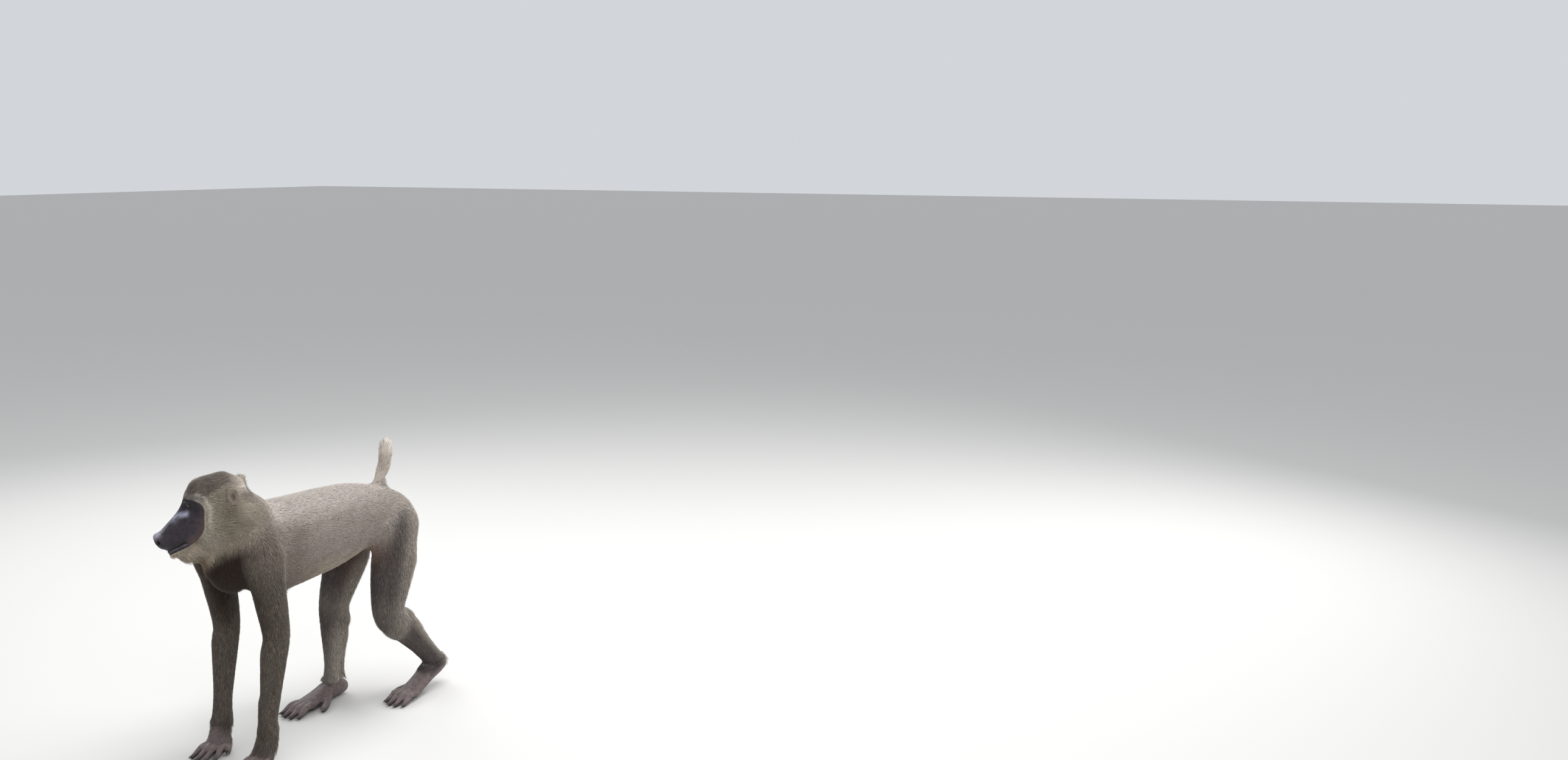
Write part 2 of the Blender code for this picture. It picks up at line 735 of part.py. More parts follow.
def head_locks(head):
    """The cheek ruff, beard, crown and nape. Hair lies back from the face, along +Y in its frame."""
    draw = random.Random(11)
    place = head_matrix()
    turn = place.to_3x3().normalized()
    locks = []

    def plant(point, lie, length, width, thick, lift=0.0, free=0.0):
        """free is how far the lock may leave the surface for its own lie."""
        root, out = on_surface(head, place @ Vector(point))
        lie = turn @ Vector(lie).normalized()
        lie = (lie - out * lie.dot(out) * (1 - free)).normalized()
        out = (out - lie * out.dot(lie)).normalized()
        size = HEAD_SCALE * draw.uniform(0.88, 1.12)
        swing = Matrix.Rotation(draw.uniform(-0.14, 0.14), 3, out)
        locks.append(lock(root, swing @ lie, out, length * size, width * size, thick, -lift))

    for s in (-1, 1):
        for y, length, width, angles in RUFF_ROWS[: 2 if s < 0 else 3]:  # her right cheek meets the shoulder
            for angle in angles:
                a = math.radians(angle)
                point = (s * 0.070 * math.cos(a), y + 0.004 * math.sin(a), -0.020 + 0.062 * math.sin(a))
                plant(point, (s * 0.22, 1, -0.26), length, width, 0.0046, 0.0025)
        for k in range(BEARD_LOCKS):
            point = (s * (0.013 + 0.004 * k), -0.094 + 0.024 * k, -0.110)
            plant(point, (s * 0.12, 0.80, -0.60), 0.028, 0.0180, 0.0050, 0.0, 0.75)
    for angle, count, length in CROWN_ROWS:
        f = math.radians(angle)
        for k in range(count):
            across = math.radians(22) * (k - (count - 1) / 2)
            point = Vector((math.sin(across), -math.cos(f) * math.cos(across), math.sin(f) * math.cos(across)))
            lie = (0.5 * math.sin(across), math.sin(f), math.cos(f))
            plant(point * 0.12, lie, length, 0.0200, 0.0040, 0.0006)
    return locks


def tail_locks(tail):
    """A small tuft round the end of the tail."""
    draw = random.Random(5)
    tip, before = Vector(TAIL_ROWS[-1][:3]), Vector(TAIL_ROWS[-2][:3])
    lie = (tip - before).normalized()
    side = lie.orthogonal().normalized()
    locks = []
    for ring, back in ((0, 0.016), (1, 0.005)):
        for k in range(4):
            a = 2 * math.pi * (k + 0.5 * ring) / 4
            out = (Matrix.Rotation(a, 3, lie) @ side).normalized()
            root, normal = on_surface(tail, tip - lie * back + out * 0.02)
            along = (lie - normal * lie.dot(normal)).normalized()
            locks.append(lock(root, along, normal, draw.uniform(0.014, 0.018), 0.0095, 0.0032, 0.0030, 0.003))
    return locks


# Parting into nodes.


def joint_plane(upper, middle, lower=None, t=1.0):
    """A place at or just over a joint and the way on past it, halfway between its two limbs."""
    a, b = joint(upper), joint(middle)
    down = (b - a).normalized()
    after = (joint(lower) - b).normalized() if lower else Vector((0, 0, -1))
    return a.lerp(b, t), (down + after).normalized()


def beyond(centre, normal, reach, depth=0.30):
    """A region maker for take: what lies past the plane, within reach of its centre."""
    return lambda extra: half_space(centre, normal, reach, depth, extra)


def inflated(obj, growth):
    made = duplicate(obj, "inflated")
    grow = made.modifiers.new("grow", "DISPLACE")
    grow.mid_level = 0.0
    grow.strength = growth
    return settle(made)


def clear_of(obj, *others, solver="EXACT", growth=GAP):
    """Cuts from obj what lies within that growth of the others."""
    for other in others:
        tool = inflated(other, growth)
        boolean(obj, tool, "DIFFERENCE", solver)
        remove((tool,))


def cut_plane(obj, centre, normal, reach=(0.2, 0.2), depth=0.4):
    """Removes what lies past the plane."""
    tool = add_object("tool", half_space(centre, normal, reach, depth))
    boolean(obj, tool, "DIFFERENCE")
    remove((tool,))


def part_limbs(body):
    for side in ("left", "right"):
        s = 1 if side == "left" else -1
        wrist, down = joint_plane(f"elbow_{side}", f"wrist_{side}", t=0.97)
        cut_plane(body, wrist - down * GAP / 2, down, (0.05, 0.05), 0.1)
        elbow, down = joint_plane(f"shoulder_{side}", f"elbow_{side}", f"wrist_{side}")
        take(body, f"forearm_{side}", beyond(elbow, down, (0.05, 0.075)))
        ankle, down = joint_plane(f"knee_{side}", f"ankle_{side}", t=0.96)
        cut_plane(body, ankle - down * GAP / 2, down, (0.05, 0.04), 0.1)
        knee, down = joint_plane(f"hip_{side}", f"knee_{side}", f"ankle_{side}")
        take(body, f"shank_{side}", beyond(knee, down, (0.06, 0.14)))
        arm = Vector((s * 0.080, -0.180, 0.290))
        take(body, f"upper_arm_{side}", beyond(arm, (0, 0.06, -1), (0.056, 0.068)))
        thigh = Vector((s * 0.075, 0.170, 0.300))
        take(body, f"thigh_{side}", beyond(thigh, (0, 0, -1), (0.073, 0.105)))
    tail = Vector(TAIL_ROWS[1][:3])
    take(body, "tail", beyond(tail, (0.05, 0.35, 1), (0.04, 0.04), 0.2))


def main():
    clear_scene()
    body = build_body()
    part_limbs(body)
    head, block = build_head()
    clear_of(body, block, solver="MANIFOLD")
    end = head_matrix() @ Vector(NECK_END)
    along = (end - Vector(NECK_BASE)).normalized()
    neck = take(body, "neck", beyond(Vector(NECK_BASE).lerp(end, 0.60), along, (0.075, 0.070), 0.2))
    ears = [build_ear(side) for side in ("left", "right")]
    for ear in ears:
        clear_of(ear, block, neck)
    remove((block,))
    fuse_locks(head, head_locks(head))
    for growth in (0.0, 1.5 * GAP):
        clear_of(head, neck, body, *ears, solver="MANIFOLD", growth=growth)
    fuse_locks(bpy.data.objects["tail"], tail_locks(bpy.data.objects["tail"]))
    for side in ("left", "right"):
        build_eye(side)
        s = 1 if side == "left" else -1
        wrist, down = joint_plane(f"elbow_{side}", f"wrist_{side}", t=0.97)
        hand = build_paw(
            f"hand_{side}",
            f"wrist_{side}",
            hand_parts(joint(f"wrist_{side}").z),
            -s,
            math.radians(HAND_TURN[side]),
            loft(fore_rows(side)[-3:], sides=18),
        )
        cut_plane(hand, wrist + down * GAP / 2, -down, (0.05, 0.05), 0.1)
        ankle, down = joint_plane(f"knee_{side}", f"ankle_{side}", t=0.96)
        foot = build_paw(
            f"foot_{side}",
            f"ankle_{side}",
            foot_parts(joint(f"ankle_{side}").z, HEEL_LIFT[side]),
            -s,
            math.radians(FOOT_TURN[side]),
            loft(hind_rows(side)[-3:], sides=18),
        )
        cut_plane(foot, ankle + down * GAP / 2, -down, (0.04, 0.03), 0.08)
    finish_nodes()


def finish_nodes():
    """Puts the origin on the floor under the middle of the whole, and closes up each mesh."""
    nodes = [obj for obj in bpy.data.objects if obj.type == "MESH"]
    low = Vector([min(v.co[k] for obj in nodes for v in obj.data.vertices) for k in range(3)])
    high = Vector([max(v.co[k] for obj in nodes for v in obj.data.vertices) for k in range(3)])
    shift = -(low + high) / 2
    shift.z = -low.z
    for obj in nodes:
        obj.data.transform(Matrix.Translation(shift))
        obj.data.name = obj.name
        for face in obj.data.polygons:
            face.use_smooth = False
    print("shift", [round(v, 5) for v in shift])


main()
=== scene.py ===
import math

import bmesh
import bpy
import numpy as np
from mathutils import Matrix, Vector
from mathutils.bvhtree import BVHTree


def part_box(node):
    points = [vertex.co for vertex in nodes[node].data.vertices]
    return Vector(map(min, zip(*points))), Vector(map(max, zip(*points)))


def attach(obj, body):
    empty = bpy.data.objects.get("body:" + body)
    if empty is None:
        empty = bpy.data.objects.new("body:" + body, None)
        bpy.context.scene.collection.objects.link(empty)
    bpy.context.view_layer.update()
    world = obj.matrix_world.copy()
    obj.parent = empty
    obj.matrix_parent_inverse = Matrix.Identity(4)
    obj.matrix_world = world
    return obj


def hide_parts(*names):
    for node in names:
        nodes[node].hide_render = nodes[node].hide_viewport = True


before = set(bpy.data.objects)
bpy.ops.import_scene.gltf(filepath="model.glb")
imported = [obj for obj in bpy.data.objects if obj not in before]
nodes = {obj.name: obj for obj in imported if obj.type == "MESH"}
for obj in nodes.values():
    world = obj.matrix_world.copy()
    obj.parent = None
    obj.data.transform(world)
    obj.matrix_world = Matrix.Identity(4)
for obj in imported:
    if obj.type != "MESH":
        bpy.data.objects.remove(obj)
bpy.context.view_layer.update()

# A drill standing on all fours: one skin over the fixed solids, and a short coat of solid tufts on it.
# Metres, +Z up. The animal faces -Y and +X is its left.

scene = bpy.context.scene


# Where the animal's parts lie

pose = {
    "headYaw": -50,  # degrees, toward its right
    "headPitch": 14.5,  # nose down
    "headRoll": 3,
    "headSize": 0.91,
    "headCentre": (0.018, -0.213, 0.482),  # before the whole was centred on its box
    "eyePlace": (0.018, -0.060, 0.0105),  # in the head's frame
    "eyeRadius": 0.0090,
    "eyeDeeper": 0.0018,
    "eyeTurn": 14,  # degrees outward
    "gaze": (0, -1, -0.04),
}

joints = {  # before the whole was centred on its box
    "nape": (0.004, -0.182, 0.445),
    "withers": (0, -0.140, 0.395),
    "rump": (0, 0.165, 0.375),
    "brisket": (0, -0.190, 0.330),
    "groin": (0, 0.150, 0.320),
    "shoulderLeft": (0.061, -0.184, 0.388),
    "elbowLeft": (0.062, -0.163, 0.232),
    "wristLeft": (0.062, -0.191, 0.066),
    "shoulderRight": (-0.061, -0.184, 0.388),
    "elbowRight": (-0.070, -0.156, 0.232),
    "wristRight": (-0.060, -0.184, 0.066),
    "hipLeft": (0.051, 0.158, 0.358),
    "kneeLeft": (0.060, 0.117, 0.190),
    "ankleLeft": (0.066, 0.234, 0.058),
    "hipRight": (-0.051, 0.158, 0.358),
    "kneeRight": (-0.072, 0.110, 0.197),
    "ankleRight": (-0.067, 0.093, 0.044),
    "tailBase": (0, 0.160, 0.410),
    "tailMiddle": (0.002, 0.186, 0.456),
    "tailTip": (0.006, 0.188, 0.500),
}


def boxCentre(node):
    low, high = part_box(node)
    return (low + high) / 2


headTurn = (
    Matrix.Rotation(math.radians(pose["headYaw"]), 3, "Z")
    @ Matrix.Rotation(math.radians(pose["headPitch"]), 3, "X")
    @ Matrix.Rotation(math.radians(pose["headRoll"]), 3, "Y")
)
eyeMiddle = (boxCentre("eye_left") + boxCentre("eye_right")) / 2
eyeOffset = Vector((0, *pose["eyePlace"][1:])) * pose["headSize"]
headCentre = eyeMiddle - headTurn @ eyeOffset
centring = headCentre - Vector(pose["headCentre"])
headPlace = Matrix.Translation(headCentre) @ headTurn.to_4x4() @ Matrix.Scale(pose["headSize"], 4)
joints = {name: Vector(place) + centring for name, place in joints.items()}


def toHead(points):
    turn = np.array(headTurn)
    return (points - np.array(headCentre)) @ turn / pose["headSize"]


def fromHead(points):
    turn = np.array(headTurn)
    return points @ turn.T * pose["headSize"] + np.array(headCentre)


def headPoint(x, y, z):
    return headPlace @ Vector((x, y, z))


# Small tools for arrays of points


def smoothStep(low, high, value):
    t = np.clip((value - low) / (high - low), 0, 1)
    return t * t * (3 - 2 * t)


def unit(vectors):
    return vectors / np.maximum(np.linalg.norm(vectors, axis=1, keepdims=True), 1e-9)


def distanceToLine(points, start, end):
    start, end = np.array(start, float), np.array(end, float)
    along = end - start
    t = np.clip((points - start) @ along / (along @ along), 0, 1)
    return np.linalg.norm(points - start - t[:, None] * along, axis=1), t


def distanceToPath(points, path):
    best = np.full(len(points), 1e9)
    for start, end in zip(path, path[1:]):
        best = np.minimum(best, distanceToLine(points, start, end)[0])
    return best


noiseForm = {"waves": 9, "turn": 6.283, "spread": (0.7, 1.4), "height": 4.2}


def softNoise(points, size, seed):
    # smooth noise from -1 to 1, a sum of waves in random directions
    draw = np.random.default_rng(seed)
    total = np.zeros(len(points))
    turn = noiseForm["turn"]
    for _ in range(noiseForm["waves"]):
        way = draw.normal(size=3)
        way /= np.linalg.norm(way)
        often = turn / size * draw.uniform(*noiseForm["spread"])
        total += np.sin(points @ way * often + draw.uniform(0, turn))
    return total / noiseForm["height"]


def meshPoints(mesh):
    points = np.empty(len(mesh.vertices) * 3, np.float32)
    mesh.vertices.foreach_get("co", points)
    return points.reshape(-1, 3).astype(float)


def meshNormals(mesh):
    normals = np.empty(len(mesh.vertices) * 3, np.float32)
    mesh.vertices.foreach_get("normal", normals)
    return normals.reshape(-1, 3).astype(float)


def setPoints(mesh, points):
    mesh.vertices.foreach_set("co", points.astype(np.float32).ravel())
    mesh.update()


def meshEdges(mesh):
    edges = np.empty(len(mesh.edges) * 2, np.int32)
    mesh.edges.foreach_get("vertices", edges)
    return edges.reshape(-1, 2)


def relax(values, edges, steps, share):
    # at each step every point moves this share of the way to the middle of its neighbours
    a, b = edges.T
    count = np.bincount(a, minlength=len(values)) + np.bincount(b, minlength=len(values))
    share = np.broadcast_to(share, len(values))[:, None]
    flat = values.ndim == 1
    values = values[:, None] if flat else values
    for _ in range(steps):
        mean = np.empty_like(values)
        for k in range(values.shape[1]):
            column = values[:, k]
            total = np.bincount(a, column[b], len(values)) + np.bincount(b, column[a], len(values))
            mean[:, k] = total / np.maximum(count, 1)
        values = values + (mean - values) * share
    return values[:, 0] if flat else values


def relaxNear(values, edges, steps, share):
    # relaxes only the points whose share is more than 0
    near = share > 0.01
    part = edges[near[edges[:, 0]] | near[edges[:, 1]]]
    kept, part = np.unique(part, return_inverse=True)
    values = values.copy()
    values[kept] = relax(values[kept], part.reshape(-1, 2), steps, (share * near)[kept])
    return values


def newObject(name, mesh):
    piece = bpy.data.objects.new(name, mesh)
    scene.collection.objects.link(piece)
    return piece


def applied(piece):
    graph = bpy.context.evaluated_depsgraph_get()
    mesh = bpy.data.meshes.new_from_object(piece.evaluated_get(graph))
    piece.modifiers.clear()
    piece.data = mesh
    return piece


def settleOn(piece, slotName, *replaced):
    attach(piece, "root")
    if replaced:
        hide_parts(*replaced)
    return piece


# Regions of the coat. Each is a bone with its reach, and says how the hair lies and grows there.

bones = {  # start, end, reach, lie (None is along the bone)
    "crown": (headPoint(0, -0.055, 0.030), headPoint(0, 0.030, 0.030), 0.040, None),
    "cheekLeft": (
        headPoint(0.030, -0.030, -0.030), headPoint(0.034, 0.022, -0.036), 0.030, (0.25, 1, -0.35),
    ),
    "cheekRight": (
        headPoint(-0.030, -0.030, -0.030), headPoint(-0.034, 0.022, -0.036), 0.030, (-0.25, 1, -0.35),
    ),
    "chin": (headPoint(0, -0.120, -0.080), headPoint(0, -0.050, -0.085), 0.022, (0, 1, -0.75)),
    "neck": (joints["nape"], joints["withers"], 0.050, None),
    "throat": (headPoint(0, -0.010, -0.070), joints["brisket"], 0.045, None),
    "back": (joints["withers"], joints["rump"], 0.075, (0, 1, -0.10)),
    "belly": (joints["brisket"], joints["groin"], 0.045, (0, 1, -0.18)),
    "rumpEnd": (joints["rump"], joints["rump"] + Vector((0, 0.055, -0.050)), 0.060, None),
    "upperArmLeft": (joints["shoulderLeft"], joints["elbowLeft"], 0.034, None),
    "upperArmRight": (joints["shoulderRight"], joints["elbowRight"], 0.034, None),
    "forearmLeft": (joints["elbowLeft"], joints["wristLeft"], 0.022, None),
    "forearmRight": (joints["elbowRight"], joints["wristRight"], 0.022, None),
    "thighLeft": (joints["hipLeft"], joints["kneeLeft"], 0.044, None),
    "thighRight": (joints["hipRight"], joints["kneeRight"], 0.044, None),
    "shankLeft": (joints["kneeLeft"], joints["ankleLeft"], 0.022, None),
    "shankRight": (joints["kneeRight"], joints["ankleRight"], 0.022, None),
    "tailRoot": (joints["tailBase"], joints["tailMiddle"], 0.012, None),
    "tailEnd": (joints["tailMiddle"], joints["tailTip"], 0.010, None),
}


boneHold = {"near": 0.15, "fall": 7}  # how soon one region gives way to the next


def boneShares(points):
    # how much each bone holds each point, from 0 to 1, summing to 1
    shares = {}
    for name, (start, end, reach, _) in bones.items():
        distance, _ = distanceToLine(points, start, end)
        shares[name] = 1 / (boneHold["near"] + distance / reach) ** boneHold["fall"]
    total = sum(shares.values())
    return {name: share / total for name, share in shares.items()}


def forBone(table, name):
    # a value that the left and right bones share
    return table[name.removesuffix("Left").removesuffix("Right")]


def boneWay(name):
    start, end, _, lie = bones[name]
    if lie is None:
        return np.array((end - start).normalized())
    way = Vector(lie).normalized()
    if name.startswith(("cheek", "chin")):
        way = headTurn @ way
    return np.array(way)


def eyeGaze(side):
    turn = math.radians(pose["eyeTurn"] if side == "left" else -pose["eyeTurn"])
    return (headTurn @ (Matrix.Rotation(turn, 3, "Z") @ Vector(pose["gaze"]))).normalized()


def eyeCentre(side):
    # the eye sits a little deeper than its solid
    return boxCentre("eye_" + side) - eyeGaze(side) * pose["eyeDeeper"]


# The bare skin: the face, the hands and feet, and two pads under the tail

face = {
    "outline": (  # of the bare skin seen from the side, in the head's frame: back, up
        (-0.0755, 0.0250), (-0.0654, 0.0237), (-0.0539, 0.0208), (-0.0469, 0.0169), (-0.0404, 0.0117),
        (-0.0372, 0.0049), (-0.0368, -0.0036), (-0.0395, -0.0119), (-0.0420, -0.0195), (-0.0450, -0.0292),
        (-0.0500, -0.0393), (-0.0576, -0.0486), (-0.0663, -0.0554), (-0.0760, -0.0605), (-0.0876, -0.0656),
        (-0.1006, -0.0689), (-0.1134, -0.0714), (-0.1266, -0.0748), (-0.1500, -0.0790), (-0.2000, -0.0790),
        (-0.2000, 0.0500), (-0.0900, 0.0270),
    ),
    "halfWidths": ((-0.15, 0.026), (-0.10, 0.032), (-0.07, 0.041), (-0.035, 0.050)),  # back, out
    "peak": 0.0020,  # how much lower the coat comes between the brows
    "peakWidth": 0.010,
    "soft": 0.0030,
    "middle": (0, -0.08, -0.02),
    "reach": 0.13,  # from that middle, round all of the muzzle
}
bareLimbs = {  # furred end, start of the bare skin, its far end, before the whole was centred on its box
    "handLeft": ((0.062, -0.198, 0.046), (0.062, -0.220, 0.019), (0.065, -0.262, 0.006)),
    "handRight": ((-0.060, -0.184, 0.072), (-0.060, -0.190, 0.056), (-0.050, -0.250, 0.006)),
    "footLeft": ((0.0655, 0.225, 0.072), (0.066, 0.240, 0.038), (0.060, 0.105, 0.006)),
    "footRight": ((-0.067, 0.094, 0.062), (-0.067, 0.100, 0.030), (-0.060, -0.030, 0.006)),
}
pawEdges = {
    "reach": 0.14,  # of each paw, from its middle
    "below": 0.12,  # height under which a paw can be
    "waveSizes": (0.009, 0.0035),
    "skinWaves": (0.0026, 0.0014),  # how uneven the edge is
    "coatWaves": (0.0040, 0.0020),
    "bare": (-0.003, 0.009),
}
rumpPads = {"place": (0.0160, 0.350), "half": (0.0128, 0.0135), "behind": 0.190}  # x and z, then y


def insideOutline(across, up, outline):
    # distance to a closed outline, more than 0 inside it
    corners = np.array(outline)
    best = np.full(len(across), 1e9)
    inside = np.zeros(len(across), bool)
    for (y1, z1), (y2, z2) in zip(corners, np.roll(corners, -1, axis=0)):
        dy, dz = y2 - y1, z2 - z1
        t = np.clip(((across - y1) * dy + (up - z1) * dz) / (dy * dy + dz * dz), 0, 1)
        best = np.minimum(best, np.hypot(across - y1 - t * dy, up - z1 - t * dz))
        if dz:
            inside ^= ((z1 > up) != (z2 > up)) & (across < y1 + (up - z1) / dz * dy)
    return np.where(inside, best, -best)


def nearFace(p):
    # True for points of the head's frame on the front of the head, which keeps the face's marks off the body
    return np.linalg.norm(p - face["middle"], axis=1) < face["reach"]


def onLeftHalf(p):
    # the same places on the left half, since both halves of the head are alike
    return np.stack([np.abs(p[:, 0]), p[:, 1], p[:, 2]], axis=1)


def faceDistance(points):
    # how far inside the bare face each point is, in the head's own measure
    p = toHead(points)
    distance = np.full(len(points), -0.1)
    width = np.interp(p[:, 1], *zip(*face["halfWidths"]))
    near = (np.abs(p[:, 0]) < width) & nearFace(p)
    peak = face["peak"] * np.exp(-((p[near, 0] / face["peakWidth"]) ** 2)) * (p[near, 2] > 0)
    distance[near] = insideOutline(p[near, 1], p[near, 2] + peak, face["outline"])
    return distance


def bareFace(points):
    # 1 on the bare skin of the face and 0 under the coat
    return smoothStep(-face["soft"], face["soft"], faceDistance(points))


def pastCoatEdge(points):
    # how far each point is past the coat's edge on its hand or foot, less than 0 on the furred limb
    past = np.full(len(points), -0.1)
    for furred, start, end in bareLimbs.values():
        furred, start, end = (np.array(Vector(place) + centring) for place in (furred, start, end))
        above = furred + (furred - start) * 3
        limb = distanceToLine(points, above, furred)[0]
        paw = distanceToLine(points, start, end)[0]
        near = np.linalg.norm(points - (start + end) / 2, axis=1) < pawEdges["reach"]
        past = np.maximum(past, np.where(near, limb - paw, -0.1))
    return past


def edgeWave(points, heights):
    broad, fine = (softNoise(points, size, 61 + k) for k, size in enumerate(pawEdges["waveSizes"]))
    return heights[0] * broad + heights[1] * fine


def bareHand(points):
    # 1 on the bare hands and feet, with the coat's uneven edge on their backs
    low = smoothStep(pawEdges["below"] + 0.04, pawEdges["below"], points[:, 2])
    past = pastCoatEdge(points) + edgeWave(points, pawEdges["skinWaves"])
    return smoothStep(*pawEdges["bare"], past) * low


def barePads(points):
    x, z = rumpPads["place"]
    wide, tall = rumpPads["half"]
    far = np.hypot((np.abs(points[:, 0] - centring.x) - x) / wide, (points[:, 2] - centring.z - z) / tall)
    return smoothStep(1.15, 0.85, far) * (points[:, 1] - centring.y > rumpPads["behind"])


def bareSkin(points):
    return np.maximum(np.maximum(bareFace(points), bareHand(points)), barePads(points))


# Coat colours, as light reflected, and how the marking runs over the body, with painted shade and highlights
# among them

coatColours = {
    "back": (0.372, 0.333, 0.300),
    "flank": (0.262, 0.225, 0.196),
    "belly": (0.330, 0.276, 0.220),
    "shoulder": (0.172, 0.143, 0.117),
    "arm": (0.098, 0.080, 0.065),
    "thigh": (0.076, 0.062, 0.057),
    "shank": (0.064, 0.051, 0.042),
    # paler hair behind the legs, made brighter still with painted rim light
    "legRear": (0.340, 0.297, 0.255),
    # a dark chest, darkened further with painted shade between the forelegs and under the head
    "chest": (0.026, 0.015, 0.010),
    "groin": (0.125, 0.058, 0.042),
    "neck": (0.220, 0.184, 0.147),
    "crown": (0.138, 0.113, 0.096),
    "napeTuft": (0.600, 0.530, 0.460),
    "browLine": (0.235, 0.215, 0.200),
    "cheek": (0.285, 0.247, 0.192),
    "cheekStripe": (0.520, 0.470, 0.395),
    "olive": (0.160, 0.136, 0.098),
    "earPatch": (0.240, 0.185, 0.148),
    "beard": (0.430, 0.360, 0.280),
    "throat": (0.150, 0.085, 0.045),
    "tail": (0.500, 0.432, 0.372),
    "tailTip": (0.860, 0.770, 0.680),
}
skinColours = {
    "face": (0.033, 0.026, 0.034),
    "cheekEdge": (0.082, 0.052, 0.049),
    # painted highlight: the pale bluish glint on the swelling beside the nose
    "ridge": (0.480, 0.490, 0.610),
    # painted sheen: a pale bluish highlight along the bridge of the nose
    "bridgeSheen": (0.200, 0.195, 0.240),
    # painted highlight: the pale glint on top of the nose's tip
    "noseTopHighlight": (0.440, 0.395, 0.455),
    "lip": (0.020, 0.016, 0.021),
    "lipEdge": (0.150, 0.135, 0.150),
    # painted shade: near black under the brow and round the eye, where the brow's shadow falls
    "socketShade": (0.008, 0.006, 0.007),
    # painted shade: near black deep in the nostrils and along the line of the mouth
    "pit": (0.006, 0.005, 0.006),
    "hand": (0.125, 0.097, 0.092),
    "knuckle": (0.185, 0.150, 0.142),
    "palm": (0.060, 0.046, 0.044),
    "pad": (0.185, 0.135, 0.125),
}
faceZones = {  # painted in this order: colour, reach, strength, path in the head's frame; bridge, ridge and nose top are painted highlights, brow and socket painted shade
    "cheek": (
        "cheekEdge", 0.011, 0.9,
        ((0.037, -0.046, -0.028), (0.034, -0.060, -0.047), (0.028, -0.080, -0.060)),
    ),
    "temple": (
        "cheekEdge", 0.006, 0.5,
        ((0.036, -0.041, 0.004), (0.036, -0.043, -0.014)),
    ),
    # painted sheen along the bridge of the nose
    "bridgeSheen": (
        "bridgeSheen", 0.0085, 0.8,
        ((0.003, -0.094, -0.006), (0.005, -0.122, -0.022), (0.004, -0.138, -0.031)),
    ),
    # painted highlight along the swelling beside the nose
    "ridge": (
        "ridge", 0.0058, 0.9,
        ((0.011, -0.098, -0.010), (0.015, -0.084, -0.0065), (0.019, -0.073, -0.006)),
    ),
    # painted highlight on top of the nose's tip
    "noseTopHighlight": (
        "noseTopHighlight", 0.0065, 0.85,
        ((0.002, -0.145, -0.0345), (0.006, -0.132, -0.032), (0.011, -0.118, -0.034)),
    ),
    "upperLip": (
        "lip", 0.0080, 0.8,
        ((0.012, -0.132, -0.056), (0.021, -0.108, -0.055), (0.024, -0.094, -0.052)),
    ),
    "chin": (
        "lip", 0.0055, 0.7,
        ((0.004, -0.134, -0.074), (0.019, -0.108, -0.066)),
    ),
    "lipEdge": (
        "lipEdge", 0.0019, 0.6,
        ((0.0225, -0.090, -0.060), (0.020, -0.108, -0.0635), (0.012, -0.127, -0.068)),
    ),
    # painted shade under the brow
    "brow": (
        "socketShade", 0.0065, 0.9,
        ((0.008, -0.072, 0.019), (0.020, -0.066, 0.019), (0.032, -0.050, 0.014)),
    ),
    # painted shade round the eye
    "socket": (
        "socketShade", 0.0110, 0.96,
        ((0.010, -0.067, 0.011), (0.020, -0.060, 0.010), (0.030, -0.048, 0.006)),
    ),
}


def mixTo(colour, name, amount, table):
    return colour + (np.array(table[name]) - colour) * np.clip(amount, 0, 1)[:, None]


legEdges = {  # behind the middle of thigh and shank, where each band starts and is full
    "longHair": ((0.002, 0.030), (-0.008, 0.014)),
    "paleLeft": ((-0.020, 0.034), (-0.002, 0.022)),
    "paleRight": ((-0.026, 0.028), (-0.030, 0.000)),  # its inner side is seen, and is paler
}


def legRear(points, shares, side, band):
    # 1 along the back of a leg
    rear = np.zeros(len(points))
    for (upper, lower), (low, high) in zip((("hip", "knee"), ("knee", "ankle")), legEdges[band]):
        start, end = np.array(joints[upper + side]), np.array(joints[lower + side])
        way = (end - start) / np.linalg.norm(end - start)
        behind = np.array((0.0, 1.0, 0.0)) - way * way[1]
        behind /= np.linalg.norm(behind)
        share = shares[("thigh" if upper == "hip" else "shank") + side] + 0.5 * shares["rumpEnd"]
        rear = np.maximum(rear, share * smoothStep(low, high, (points - start) @ behind))
    sign = 1 if side == "Left" else -1
    return np.clip(rear, 0, 1) * (sign * points[:, 0] > -0.01)


